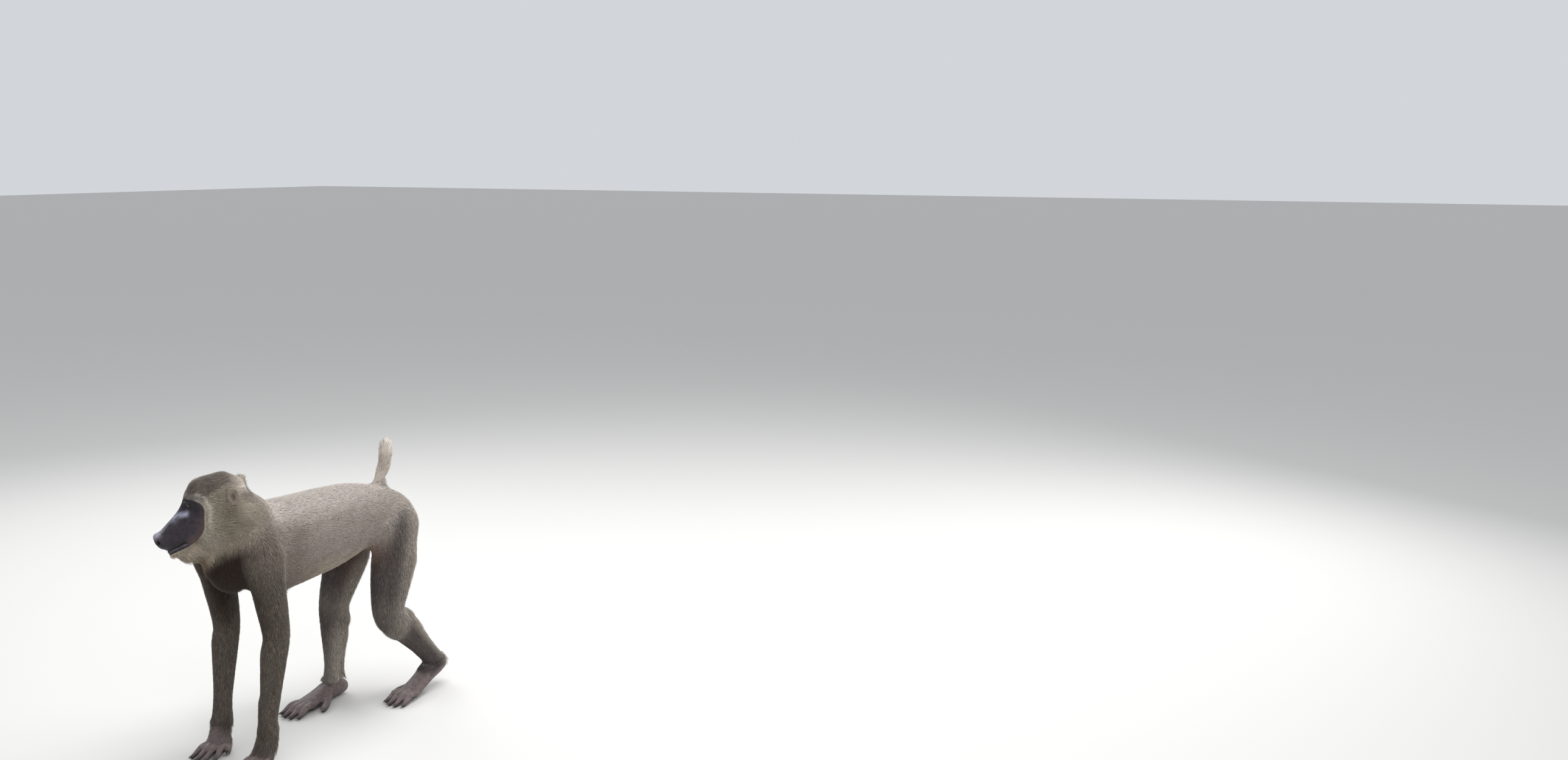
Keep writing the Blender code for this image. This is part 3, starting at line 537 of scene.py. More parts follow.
def coatMarkingAndPaintedLight(points, shares):
    # the colour of the coat at each point: its marking, with painted shade, rim light and highlights in places
    colour = np.zeros((len(points), 3))
    places = {  # the ground colour of each bone
        # the throat takes the chest's colour, which holds painted shade under the head
        "crown": "crown", "cheek": "cheek", "chin": "beard", "neck": "neck", "throat": "chest",
        "back": "back", "belly": "belly", "rumpEnd": "back", "upperArm": "arm", "forearm": "arm",
        "thigh": "thigh", "shank": "shank", "tailRoot": "tail", "tailEnd": "tail",
    }
    for bone in shares:
        colour += np.array(coatColours[forBone(places, bone)]) * shares[bone][:, None]
    height, along = points[:, 2] - centring.z, points[:, 1] - centring.y
    wave = softNoise(points, 0.05, 3) * 0.006
    trunk = shares["back"] + shares["belly"] + shares["rumpEnd"]
    flank = trunk * smoothStep(0.465, 0.415, height + wave)
    colour = mixTo(colour, "flank", flank, coatColours)
    colour = mixTo(colour, "belly", trunk * smoothStep(0.345, 0.315, height + wave), coatColours)
    p = toHead(points)
    headShare = shares["crown"] + shares["cheekLeft"] + shares["cheekRight"] + shares["chin"]
    # the dark shoulder, its edge soft and slanting back toward the elbow
    shoulderLine = -0.085 - 0.45 * (height - 0.33)
    front = smoothStep(shoulderLine + 0.060, shoulderLine - 0.060, along + 2 * wave)
    blade = front * smoothStep(0.460, 0.395, height) * (1 - shares["chin"]) * smoothStep(0.20, 0.24, height)
    colour = mixTo(colour, "shoulder", blade * (1 - smoothStep(0.1, 0.5, headShare)), coatColours)
    napeLine = np.interp(along, [-0.182, -0.140, -0.100], [0.445, 0.395, 0.390])
    top = smoothStep(0.010, 0.045, height - napeLine) * (shares["neck"] + shares["back"])
    colour = mixTo(colour, "back", top * 0.9, coatColours)
    arms = sum(shares[n] for n in ("upperArmLeft", "upperArmRight", "forearmLeft", "forearmRight"))
    colour = mixTo(colour, "arm", arms * smoothStep(0.41, 0.32, height), coatColours)
    # the dark chest between the forelegs, with painted shade in it
    inward = smoothStep(0.092, 0.035, np.abs(points[:, 0]))
    chest = inward * smoothStep(-0.130, -0.190, along)
    chest = chest * smoothStep(0.440, 0.390, height) * (1 - smoothStep(0.3, 0.7, headShare))
    chest = chest * smoothStep(0.20, 0.26, height)
    colour = mixTo(colour, "chest", chest * 1.2, coatColours)
    thighs = sum(shares[n] for n in ("thighLeft", "thighRight", "shankLeft", "shankRight"))
    haunch = thighs * smoothStep(0.378, 0.310, height) * smoothStep(0.040, 0.085, along)
    colour = mixTo(colour, "thigh", haunch, coatColours)
    for side in ("Left", "Right"):
        sign = 1 if side == "Left" else -1
        inside = thighs * smoothStep(0.050, 0.020, sign * points[:, 0]) * (sign * points[:, 0] > -0.02)
        colour = mixTo(colour, "groin", inside * smoothStep(0.14, 0.25, height) * 0.9, coatColours)
        # the pale band behind each leg: paler hair with painted rim light on it
        colour = mixTo(colour, "legRear", legRear(points, shares, side, "pale" + side) * 0.95, coatColours)
        far = np.linalg.norm(points - centring - (sign * 0.042, 0.108, 0.318), axis=1)
        colour = mixTo(colour, "groin", 0.8 * np.exp(-((far / 0.024) ** 2)), coatColours)
        # a painted highlight on the front of each knee
        far = np.linalg.norm(points - np.array(joints["knee" + side]) - (0, -0.015, 0.010), axis=1)
        colour = mixTo(colour, "legRear", thighs * 0.25 * np.exp(-((far / 0.030) ** 2)), coatColours)
    crown = smoothStep(0.35, 0.8, headShare + 0.5 * shares["neck"])
    side = onLeftHalf(p)
    # the cheek is paler than the crown, and they part along a line from the brow to above the ear
    partLine = np.interp(p[:, 1], [-0.040, -0.018, 0.0, 0.030], [0.018, 0.024, 0.031, 0.030])
    below = smoothStep(0.003, -0.004, p[:, 2] - partLine + 0.002 * softNoise(p, 0.012, 15))
    colour = mixTo(colour, "cheek", crown * below * smoothStep(0.018, 0.028, side[:, 0]) * 0.9, coatColours)
    olive = np.exp(-(np.linalg.norm((side - (0.046, -0.002, -0.012)) / (2, 1.2, 1), axis=1) / 0.013) ** 2)
    colour = mixTo(colour, "olive", olive * headShare * 0.75, coatColours)
    edge = faceDistance(points)
    stripe = np.exp(-(((edge + 0.0065) / 0.0045) ** 2)) * smoothStep(-0.060, -0.020, p[:, 2])
    stripe = stripe * smoothStep(0.020, 0.030, side[:, 0]) * (p[:, 1] > -0.05)
    colour = mixTo(colour, "cheekStripe", stripe * headShare, coatColours)
    napeTuft = crown * smoothStep(0.004, 0.030, p[:, 1]) * smoothStep(-0.004, 0.020, p[:, 2])
    napeTuft = napeTuft + 0.6 * crown * smoothStep(0.050, 0.060, p[:, 2]) * (p[:, 1] > -0.04)
    colour = mixTo(colour, "napeTuft", napeTuft * 0.85, coatColours)
    browLine = np.exp(-(((edge + 0.0045) / 0.0035) ** 2)) * (p[:, 1] < -0.036) * (p[:, 2] > 0.008)
    colour = mixTo(colour, "browLine", browLine * headShare, coatColours)
    earPatch = np.exp(-(np.linalg.norm(side - (0.042, 0.012, 0.006), axis=1) / 0.013) ** 2)
    colour = mixTo(colour, "earPatch", earPatch * headShare * 0.8, coatColours)
    front = np.clip(headShare + shares["throat"] + shares["neck"], 0, 1)
    lowCheek = smoothStep(-0.104, -0.080, p[:, 2]) * smoothStep(-0.045, -0.060, p[:, 2])
    lowCheek = lowCheek * (side[:, 0] > 0.008)
    lowCheek = lowCheek * smoothStep(-0.085, -0.060, p[:, 1]) * smoothStep(0.050, 0.020, p[:, 1])
    colour = mixTo(colour, "cheek", front * lowCheek * 0.8, coatColours)
    cream = np.exp(-((np.linalg.norm(side - (0.033, -0.046, -0.052), axis=1) / 0.019) ** 2))
    colour = mixTo(colour, "cheekStripe", front * cream * 0.45, coatColours)
    # painted shadow: the underside of the jaw behind the beard takes the near-black chest colour
    under = smoothStep(-0.094, -0.108, p[:, 2]) * smoothStep(-0.094, -0.074, p[:, 1]) * (p[:, 1] < 0)
    under = under * smoothStep(-0.17, -0.15, p[:, 2]) * smoothStep(0.045, 0.025, side[:, 0])
    colour = mixTo(colour, "chest", front * under * 0.95, coatColours)
    throat = smoothStep(-0.080, -0.094, p[:, 2]) * smoothStep(-0.150, -0.125, p[:, 2])
    throat = throat * smoothStep(-0.064, -0.084, p[:, 1]) * (headShare + 0.7 * shares["throat"])
    colour = mixTo(colour, "throat", throat * 0.85, coatColours)
    tipShare = smoothStep(0.460, 0.484, height) * (shares["tailEnd"] + shares["tailRoot"])
    colour = mixTo(colour, "tailTip", tipShare, coatColours)
    mottle = 1 + 0.06 * softNoise(points, 0.022, 4) + 0.04 * softNoise(points, 0.009, 5)
    return colour * mottle[:, None]


def skinMarkingAndPaintedLight(points):
    # the colour of the bare skin, with painted highlights on the nose and painted shade round the eyes, in the
    # nostrils and along the mouth
    p = toHead(points)
    side = onLeftHalf(p)
    colour = np.tile(np.array(skinColours["hand"]), (len(points), 1))
    for path, _ in digitPaths():
        for knuckle in path[1:-1]:
            far = np.linalg.norm(points - np.array(knuckle) - (0, 0, 0.004), axis=1)
            colour = mixTo(colour, "knuckle", 0.6 * np.exp(-((far / 0.006) ** 2)), skinColours)
    colour = mixTo(colour, "palm", smoothStep(0.012, 0.003, points[:, 2]), skinColours)
    colour = mixTo(colour, "pad", barePads(points), skinColours)
    onHead = nearFace(p).astype(float)
    colour = mixTo(colour, "face", onHead, skinColours)
    wave = 1 + 0.25 * softNoise(p, 0.020, 9)
    for name, reach, strength, path in faceZones.values():
        far = distanceToPath(side, path) / (reach * wave)
        colour = mixTo(colour, name, onHead * strength * np.exp(-(far**2)), skinColours)
    # painted shade deep in each nostril
    pit = np.linalg.norm((side - faceForms["nostril"]) / (0.0036, 0.0058, 0.0044), axis=1)
    colour = mixTo(colour, "pit", onHead * smoothStep(1.15, 0.8, pit), skinColours)
    # painted shade along the crease of the mouth
    groove = np.abs(mouthGap(p)) / 0.0008
    fade = 0.4 + 0.35 * smoothStep(-0.125, -0.100, p[:, 1])
    colour = mixTo(colour, "pit", onHead * mouthReach(p) * fade * np.exp(-(groove**2)), skinColours)
    return colour * (1 + 0.10 * softNoise(points, 0.010, 12) + 0.06 * softNoise(points, 0.004, 13))[:, None]


# The skin: the flesh nodes melted into one, drawn in by the depth of the coat, then sculpted

skinSizes = {
    "voxel": 0.0014,
    "overlap": 0.00035,  # closes the gaps between the nodes
    "ground": 0.0016,  # points below this keep their height
    "keptUnderCoat": 0.17,  # share of the faces kept where the coat hides them
    "depth": {  # how far the skin lies under the tips of the coat
        "crown": 0.0050, "cheek": 0.0060, "chin": 0.0045, "neck": 0.0075, "throat": 0.0085,
        "back": 0.0070, "belly": 0.0075, "rumpEnd": 0.0065, "upperArm": 0.0060, "forearm": 0.0042,
        "thigh": 0.0062, "shank": 0.0042, "tailRoot": 0.0030, "tailEnd": 0.0022,
    },
}
fleshNodes = [name for name in nodes if not name.startswith(("eye", "ear"))]


def melted(piece):
    melt = piece.modifiers.new("melt", "REMESH")
    melt.mode = "VOXEL"
    melt.voxel_size = skinSizes["voxel"]
    applied(piece)
    keepLargest(piece)


def buildSkin():
    bm = bmesh.new()
    for name in sorted(fleshNodes) + ["eye_left", "eye_right"]:
        part = bmesh.new()
        part.from_mesh(nodes[name].data)
        bmesh.ops.remove_doubles(part, verts=part.verts, dist=1e-6)
        part.normal_update()
        for vert in part.verts:
            vert.co += vert.normal * skinSizes["overlap"]
        mesh = bpy.data.meshes.new("part")
        part.to_mesh(mesh)
        part.free()
        bm.from_mesh(mesh)
        bpy.data.meshes.remove(mesh)
    mesh = bpy.data.meshes.new("skin")
    bm.to_mesh(mesh)
    bm.free()
    skin = newObject("skin", mesh)
    melted(skin)
    return skin


def keepLargest(piece):
    mesh = piece.data
    edges = meshEdges(mesh)
    label = np.arange(len(mesh.vertices))
    while True:
        low = np.minimum(label[edges[:, 0]], label[edges[:, 1]])
        fresh = label.copy()
        np.minimum.at(fresh, edges[:, 0], low)
        np.minimum.at(fresh, edges[:, 1], low)
        fresh = fresh[fresh]
        if (fresh == label).all():
            break
        label = fresh
    names, counts = np.unique(label, return_counts=True)
    if len(names) == 1:
        return
    loose = np.flatnonzero(label != names[counts.argmax()])
    bm = bmesh.new()
    bm.from_mesh(mesh)
    bm.verts.ensure_lookup_table()
    bmesh.ops.delete(bm, geom=[bm.verts[i] for i in loose], context="VERTS")
    bm.to_mesh(mesh)
    bm.free()


def ruffArea(points):
    # where the solids carry the locks of the head, neck and beard
    p = toHead(points)
    reach = np.linalg.norm(p - (0, 0.005, -0.015), axis=1)
    ruff = smoothStep(0.110, 0.090, reach) * smoothStep(-0.050, -0.025, p[:, 1])
    beard = smoothStep(0.075, 0.055, np.linalg.norm(p - (0, -0.080, -0.085), axis=1))
    return np.maximum(ruff, 0.6 * beard)


def wearLocks(skin, steps):
    # smooths the coat's area, most where the locks stand, which the tufts make again
    points, edges = meshPoints(skin.data), meshEdges(skin.data)
    grounded = points[:, 2] < skinSizes["ground"]
    level = points[grounded, 2]
    furry = 1 - smoothStep(0.0, 0.6, bareSkin(points))
    points = relax(points, edges, 3, 0.5)
    points = relax(points, edges, 10, 0.5 * furry)
    points = relaxNear(points, edges, steps, 0.5 * furry * ruffArea(points))
    points[grounded, 2] = level
    setPoints(skin.data, points)


def drawIn(skin):
    mesh = skin.data
    points, edges = meshPoints(mesh), meshEdges(mesh)
    grounded = points[:, 2] < skinSizes["ground"]
    level = points[grounded, 2]
    shares = boneShares(points)
    bare = bareSkin(points)
    furry = 1 - smoothStep(0.0, 0.6, bare)
    points = relaxNear(points, edges, 4, 0.5 * smoothStep(0.3, 0.9, bareFace(points)))
    setPoints(mesh, points)
    depth = sum(shares[name] * forBone(skinSizes["depth"], name) for name in shares)
    rear = sum(legRear(points, shares, side, "longHair") for side in ("Left", "Right"))
    depth *= 1 - 0.75 * rear * smoothStep(0.33, 0.28, points[:, 2])
    thinner = 0.25 + 0.75 * smoothStep(0.004, -0.036, pastCoatEdge(points))  # toward wrists and ankles
    depth = relax(depth * (1 - bare) * thinner, edges, 12, 0.5)
    normals = unit(relax(meshNormals(mesh), edges, 8, 0.5))
    points = points - normals * depth[:, None]
    points = relax(points, edges, 8, 0.5 * furry)
    points[grounded, 2] = level
    setPoints(mesh, points)


def thinUnderCoat(skin):
    bare = bareSkin(meshPoints(skin.data))
    hidden = np.flatnonzero(bare < 0.02)
    group = skin.vertex_groups.new(name="furred")
    group.add(hidden.tolist(), 1.0, "REPLACE")
    thin = skin.modifiers.new("thin", "DECIMATE")
    thin.vertex_group = group.name
    thin.ratio = 1 - len(hidden) / len(bare) * (1 - skinSizes["keptUnderCoat"])
    applied(skin)
    skin.vertex_groups.clear()


print("skin: melting the nodes into one")
skin = buildSkin()
wearLocks(skin, 150)
melted(skin)
wearLocks(skin, 90)
drawIn(skin)
print("skin:", len(skin.data.vertices), "points")
thinUnderCoat(skin)
print("skin: thinned to", len(skin.data.vertices), "points")


# The face: eyelids, folds, nostrils and the line of the mouth

faceForms = {
    "mouth": (  # back and up, from the front of the lips to the corner
        (-0.1450, -0.0695), (-0.1330, -0.0668), (-0.1211, -0.0640), (-0.1108, -0.0617),
        (-0.1021, -0.0597), (-0.0942, -0.0574), (-0.0888, -0.0566),
    ),
    "mouthDepth": 0.0013,
    "mouthWidth": 0.0008,
    "mouthWear": 80,  # steps that smooth the solid's own mouth before the fine one is cut
    "lipSwell": 0.0008,
    "browSwell": 0.0011,
    "socketHollow": 0.0008,
    "chinDrop": 0.0045,
    "noseTip": (0.0, -0.1405, -0.0400),
    "noseReach": 0.0105,
    "nosePull": (0, -0.0050, 0.0068),  # makes the tip stand forward and up
    "nostril": (0.0118, -0.1375, -0.0450),
    "nostrilSize": (0.0032, 0.0056, 0.0042),  # across, along, up
    "nostrilTurn": 52,  # degrees outward
    "nostrilDepth": 0.0070,
    "alarSwell": 0.0010,
    "swelling": (  # the path of the swelling beside the nose
        (0.013, -0.073, -0.002), (0.0135, -0.100, -0.015), (0.0115, -0.124, -0.030),
    ),
    "swellHeight": 0.0019,
    "grooves": ((0.0030, 0.0005), (0.0012, 0.0005), (0.0085, 0.0007)),  # off that path, and how deep
    "folds": (0.00016, 0.00015, 0.00012),  # height of the cheek's folds, the brow's and the fine ones
    "lidOpening": (0.0068, 0.0032),  # half width and half height of the opening between the lids
    "lidThickness": 0.0008,
    "socketDepth": 0.0012,
}
pawForms = {
    "handLeft": {"joint": "wristLeft", "turn": 8, "thumbSide": -1, "digits": "fingers"},  # turn in degrees
    "handRight": {"joint": "wristRight", "turn": 12, "thumbSide": 1, "digits": "fingers"},
    "footLeft": {"joint": "ankleLeft", "turn": 3, "thumbSide": -1, "digits": "toes"},
    "footRight": {"joint": "ankleRight", "turn": 3, "thumbSide": 1, "digits": "toes"},
}
digitForms = {
    "fingers": {
        "spread": 1.36,  # of the tips
        "start": 0.022,  # how far before the joint they start
        "tip": 0.0043,
        "lengths": ((-0.0165, 0.040), (-0.0055, 0.047), (0.0055, 0.046), (0.0165, 0.037)),  # x and length
        "thumb": ((0.0225, -0.017, 0.0130), (0.0275, -0.028, 0.0046)),
    },
    "toes": {
        "spread": 1.30,
        "start": 0.078,
        "tip": 0.0046,
        "lengths": ((-0.0170, 0.040), (-0.0058, 0.049), (0.0058, 0.050), (0.0170, 0.043)),
        "thumb": ((0.0340, -0.061, 0.0080), (0.0385, -0.073, 0.0052)),
    },
}


def digitPaths():
    # each digit's middle line from its root to its tip, with the radius of its tip
    paths = []
    for paw in pawForms.values():
        joint, form = joints[paw["joint"]], digitForms[paw["digits"]]
        place = Matrix.Translation((joint.x, joint.y, 0)) @ Matrix.Rotation(math.radians(paw["turn"]), 4, "Z")
        start, spread, tip = form["start"], form["spread"], form["tip"]
        for x, length in form["lengths"]:
            path = (
                (x, -start, 0.0140),
                (x * 1.14, -start - 0.36 * length, 0.0152),
                (x * (0.2 + 0.8 * spread), -start - 0.72 * length, 0.0082),
                (x * spread, -start - length, 0.0043),
            )
            paths.append(([place @ Vector(point) for point in path], tip))
        path = [(paw["thumbSide"] * x, y, z) for x, y, z in form["thumb"]]
        middle = tuple((a + b) / 2 for a, b in zip(*path))
        paths.append(([place @ Vector(point) for point in (path[0], middle, path[1])], tip))
    return paths


def mouthGap(p):
    # height over the line of the mouth
    backs, heights = zip(*faceForms["mouth"])
    return p[:, 2] - np.interp(p[:, 1], backs, heights)


def mouthReach(p):
    corner = faceForms["mouth"][-1][0]
    return smoothStep(corner + 0.0015, corner - 0.0020, p[:, 1])


def refineFace(skin, chosen):
    # halves the edges between the chosen points
    bm = bmesh.new()
    bm.from_mesh(skin.data)
    bm.verts.ensure_lookup_table()
    edges = [e for e in bm.edges if chosen[e.verts[0].index] and chosen[e.verts[1].index]]
    bmesh.ops.subdivide_edges(bm, edges=edges, cuts=1, use_grid_fill=True)
    bm.to_mesh(skin.data)
    bm.free()
    points, edges = meshPoints(skin.data), meshEdges(skin.data)
    setPoints(skin.data, relaxNear(points, edges, 3, 0.5 * smoothStep(0.2, 0.8, bareFace(points))))


def fineFeatures(points):
    # where the face needs its smallest faces
    p = toHead(points)
    side = onLeftHalf(p)
    onFace = faceDistance(points) > -0.002
    eye = np.linalg.norm(side - pose["eyePlace"], axis=1) < 0.0150
    nostril = np.linalg.norm(side - faceForms["nostril"], axis=1) < 0.0095
    mouth = (np.abs(mouthGap(p)) < 0.0032) & (mouthReach(p) > 0) & (side[:, 0] < 0.04)
    return onFace & (eye | nostril | mouth)


def sculptFace(skin):
    mesh = skin.data
    points, edges = meshPoints(mesh), meshEdges(mesh)
    q = toHead(points)
    old = np.exp(-((mouthGap(q) / 0.0055) ** 2)) * smoothStep(-0.080, -0.090, q[:, 1])
    old = old * (faceDistance(points) > -0.002)
    points = relaxNear(points, edges, faceForms["mouthWear"], 0.5 * old)
    q = toHead(points)
    jaw = smoothStep(0.003, -0.009, mouthGap(q)) * smoothStep(-0.075, -0.120, q[:, 1])
    q[:, 2] -= faceForms["chinDrop"] * jaw * nearFace(q)
    points = fromHead(q)
    setPoints(mesh, points)
    normals = unit(relax(meshNormals(mesh), edges, 4, 0.5))
    inner = faceDistance(points)
    near = np.flatnonzero(inner > -0.004)
    q = toHead(points[near])
    bare = smoothStep(-0.001, 0.004, inner[near])
    x = np.abs(q[:, 0])
    side = np.stack([x, q[:, 1], q[:, 2]], axis=1)
    gap, reach = mouthGap(q), mouthReach(q)
    lift = -faceForms["mouthDepth"] * np.exp(-((gap / faceForms["mouthWidth"]) ** 2)) * reach
    lift += faceForms["lipSwell"] * np.exp(-(((np.abs(gap) - 0.0028) / 0.0017) ** 2)) * reach
    over = distanceToPath(side, faceForms["swelling"])
    lift += faceForms["swellHeight"] * np.exp(-((over / 0.0058) ** 2))
    for shift, deep in faceForms["grooves"]:
        lift -= deep * np.exp(-(((over - shift) / 0.0008) ** 2)) * smoothStep(-0.068, -0.080, q[:, 1])
    lift -= 0.0010 * np.exp(-((x / 0.0010) ** 2)) * smoothStep(-0.136, -0.144, q[:, 1]) * (q[:, 2] > -0.066)
    alar = np.linalg.norm((side - faceForms["nostril"]) / faceForms["nostrilSize"], axis=1)
    lift += faceForms["alarSwell"] * np.exp(-(((alar - 1.45) / 0.42) ** 2))
    cheekFold, browFold, fineFold = faceForms["folds"]
    fold = np.sin(side @ (0, 700, 1500) + 2.5 * softNoise(q, 0.016, 8))
    lift += cheekFold * fold * bare * smoothStep(0.010, 0.022, x) * (gap > 0.004)
    brow = np.exp(-(((inner[near] - 0.0050) / 0.0042) ** 2)) * smoothStep(0.006, 0.013, q[:, 2])
    lift += faceForms["browSwell"] * brow * smoothStep(0.034, 0.024, x) * smoothStep(0.002, 0.010, x)
    hollow = np.linalg.norm((side - pose["eyePlace"]) / (1.25, 1, 1), axis=1)
    lift -= faceForms["socketHollow"] * np.exp(-((hollow / 0.0105) ** 2))
    brow = np.sin(q[:, 1] * 2100 + 1.5 * softNoise(q, 0.012, 10))
    lift += browFold * brow * np.exp(-(((q[:, 2] - 0.017) / 0.006) ** 2)) * bare
    lift += fineFold * softNoise(q, 0.0035, 11) * bare
    points[near] += normals[near] * (lift * bare * pose["headSize"])[:, None]
    q = toHead(points[near])
    far = np.linalg.norm((q - faceForms["noseTip"]) / (1.15, 1, 1), axis=1)
    q += np.array(faceForms["nosePull"]) * np.exp(-((far / faceForms["noseReach"]) ** 2))[:, None]
    for sign in (-1, 1):
        centre = np.array(faceForms["nostril"]) * (sign, 1, 1)
        turn = np.array(Matrix.Rotation(sign * math.radians(faceForms["nostrilTurn"]), 3, "Z"))
        local = (q - centre) @ turn / faceForms["nostrilSize"]
        inside = np.exp(-((local[:, [0, 2]] ** 2).sum(1) + 0.35 * local[:, 1] ** 2) ** 2)
        inward = turn @ np.array((0.0, 1.0, 0.18))
        q = q + inward * (faceForms["nostrilDepth"] * inside)[:, None]
    points[near] = fromHead(q)
    setPoints(mesh, points)


def sculptPaws(skin):
    # creases over the knuckles and joints of every finger and toe
    points = meshPoints(skin.data)
    normals = meshNormals(skin.data)
    lift = np.zeros(len(points))
    for path, _ in digitPaths():
        for knuckle, behind in zip(path[1:], path):
            way = np.array((knuckle - behind).normalized())
            far = points - np.array(knuckle)
            along = far @ way
            off = np.linalg.norm(far - along[:, None] * way, axis=1)
            near = (np.abs(along) < 0.006) & (off < 0.010)
            crease = np.cos(along[near] * 6.283 / 0.0024) * np.exp(-((along[near] / 0.0028) ** 2))
            lift[near] -= 0.00032 * crease
    setPoints(skin.data, points + normals * (lift * bareHand(points))[:, None])


def shapeLids(skin):
    mesh = skin.data
    points = meshPoints(mesh)
    radius = pose["eyeRadius"]
    wide, tall = faceForms["lidOpening"]
    for side in ("left", "right"):
        centre, gaze = np.array(eyeCentre(side)), eyeGaze(side)
        up = (headTurn @ Vector((0, 0.1, 1))).normalized()
        across = gaze.cross(up).normalized()
        up = across.cross(gaze)
        basis = np.array((across, up, gaze))
        local = (points - centre) @ basis.T
        reach = np.linalg.norm(local, axis=1)
        near = (reach < radius * 1.9) & (local[:, 2] > 0)
        flat = local[near] / reach[near][:, None] * radius
        u, v = flat[:, 0] / wide, flat[:, 1] / tall
        # an almond: the height of the opening falls to nothing at the corners
        open = np.sqrt(np.clip(1 - u**2, 0, 1)) ** 1.1
        rim = np.abs(v) - open
        rim = np.where(np.abs(u) > 1, np.hypot(np.abs(u) - 1, v) + 0.02, rim)
        lid = radius + faceForms["lidThickness"] * np.exp(-((np.clip(rim, 0, 9) / 0.9) ** 2)) + 0.0002
        lid = np.where(rim < 0, radius - 0.0016, lid)
        blend = np.clip(1.0 - smoothStep(1.1, 2.6, rim), 0, 1)
        was = reach[near]
        goal = np.where(rim < 0, lid, np.maximum(lid, was - faceForms["socketDepth"] * blend))
        fresh = was + (goal - was) * blend
        local[near] = local[near] / was[:, None] * fresh[:, None]
        points = local @ basis + centre
        around = smoothStep(radius * 1.8, radius * 1.3, np.linalg.norm(points - centre, axis=1))
        points = relaxNear(points, meshEdges(mesh), 2, 0.35 * around)
    setPoints(mesh, points)


refineFace(skin, faceDistance(meshPoints(skin.data)) > -0.004)
refineFace(skin, fineFeatures(meshPoints(skin.data)))
sculptFace(skin)
shapeLids(skin)
sculptPaws(skin)
skin.data.calc_loop_triangles()
print("skin: face and paws sculpted,", len(skin.data.loop_triangles), "triangles")


# Materials


def newMaterial(name, roughness, specular):
    material = bpy.data.materials.new(name)
    material.use_nodes = True
    tree = material.node_tree
    shader = tree.nodes["Principled BSDF"]
    shader.inputs["Roughness"].default_value = roughness
    shader.inputs["Specular IOR Level"].default_value = specular
    return material, tree, shader


def addNode(tree, kind, inputs=(), **settings):
    node = tree.nodes.new(kind)
    for name, value in settings.items():
        setattr(node, name, value)
    for name, value in dict(inputs).items():
        if isinstance(value, bpy.types.NodeSocket):
            tree.links.new(value, node.inputs[name])
        else:
            node.inputs[name].default_value = value
    return node


def objectPlace(tree):
    return addNode(tree, "ShaderNodeTexCoord").outputs["Object"]


def noiseAt(tree, scale, detail):
    inputs = {"Vector": objectPlace(tree), "Scale": scale, "Detail": detail, "Roughness": 0.6}
    return addNode(tree, "ShaderNodeTexNoise", inputs).outputs["Fac"]


def unevenly(tree, scale, detail, low, high):
    # a noise that runs from low to high
    return rangeOf(tree, noiseAt(tree, scale, detail), 0.3, 0.7, low, high)


def tintedBy(tree, shader, *factors):
    # the painted colour, made uneven by each factor, as the shader's own
    colour = addNode(tree, "ShaderNodeAttribute", attribute_name="tint").outputs["Color"]
    for factor in factors:
        inputs = {0: 1.0, 6: colour, 7: factor}
        colour = addNode(tree, "ShaderNodeMix", inputs, data_type="RGBA", blend_type="MULTIPLY").outputs[2]
    tree.links.new(colour, shader.inputs["Base Color"])


def rangeOf(tree, value, low, high, newLow, newHigh):
    inputs = {"Value": value, "From Min": low, "From Max": high, "To Min": newLow, "To Max": newHigh}
    return addNode(tree, "ShaderNodeMapRange", inputs).outputs["Result"]


def skinMaterial():
    material, tree, shader = newMaterial("bareAndFurredSkin", 0.5, 0.24)
    tintedBy(tree, shader, unevenly(tree, 140, 4, 0.78, 1.22), unevenly(tree, 900, 2, 0.75, 1.25))
    bare = addNode(tree, "ShaderNodeAttribute", attribute_name="bare").outputs["Fac"]
    gloss = unevenly(tree, 260, 2, 0.36, 0.52)
    rough = addNode(tree, "ShaderNodeMix", {0: bare, 2: 0.85, 3: gloss}, data_type="FLOAT").outputs[0]
    tree.links.new(rough, shader.inputs["Roughness"])
    # small cells parted by creases, with pores over them
    inputs = {"Vector": objectPlace(tree), "Scale": 820}
    cells = addNode(tree, "ShaderNodeTexVoronoi", inputs, feature="DISTANCE_TO_EDGE").outputs["Distance"]
    crease = rangeOf(tree, cells, 0.0, 0.25, 0.0, 1.0)
    relief = addNode(tree, "ShaderNodeMath", {0: crease, 1: noiseAt(tree, 1500, 2)}, operation="ADD").outputs[0]
    bump = addNode(tree, "ShaderNodeBump", {"Strength": 0.28, "Distance": 0.0004, "Height": relief})
    tree.links.new(bump.outputs["Normal"], shader.inputs["Normal"])
    return material


def coatMaterial():
    material, tree, shader = newMaterial("coatHair", 0.68, 0.20)
    shader.inputs["Sheen Weight"].default_value = 0.18
    shader.inputs["Sheen Roughness"].default_value = 0.45
    shader.inputs["Sheen Tint"].default_value = (1.0, 0.95, 0.86, 1.0)
    tintedBy(tree, shader, unevenly(tree, 520, 2, 0.72, 1.28))
    return material


def paintPoints(mesh, colours, name="tint"):
    layer = mesh.color_attributes.new(name, "FLOAT_COLOR", "POINT")
    data = np.ones((len(colours), 4), np.float32)
    data[:, :3] = np.clip(colours, 0, 1)
    layer.data.foreach_set("color", data.ravel())


def setShare(mesh, name, values):
    layer = mesh.attributes.new(name, "FLOAT", "POINT")
    layer.data.foreach_set("value", np.broadcast_to(values, len(mesh.vertices)).astype(np.float32))


def paintSkin(skin):
    points = meshPoints(skin.data)
    bare = bareSkin(points)
    shares = boneShares(points)
    coat = coatMarkingAndPaintedLight(points, shares)
    colour = coat + (skinMarkingAndPaintedLight(points) - coat) * smoothStep(0.25, 0.75, bare)[:, None]
    paintPoints(skin.data, colour)
    setShare(skin.data, "bare", bare)
    skin.data.shade_smooth()


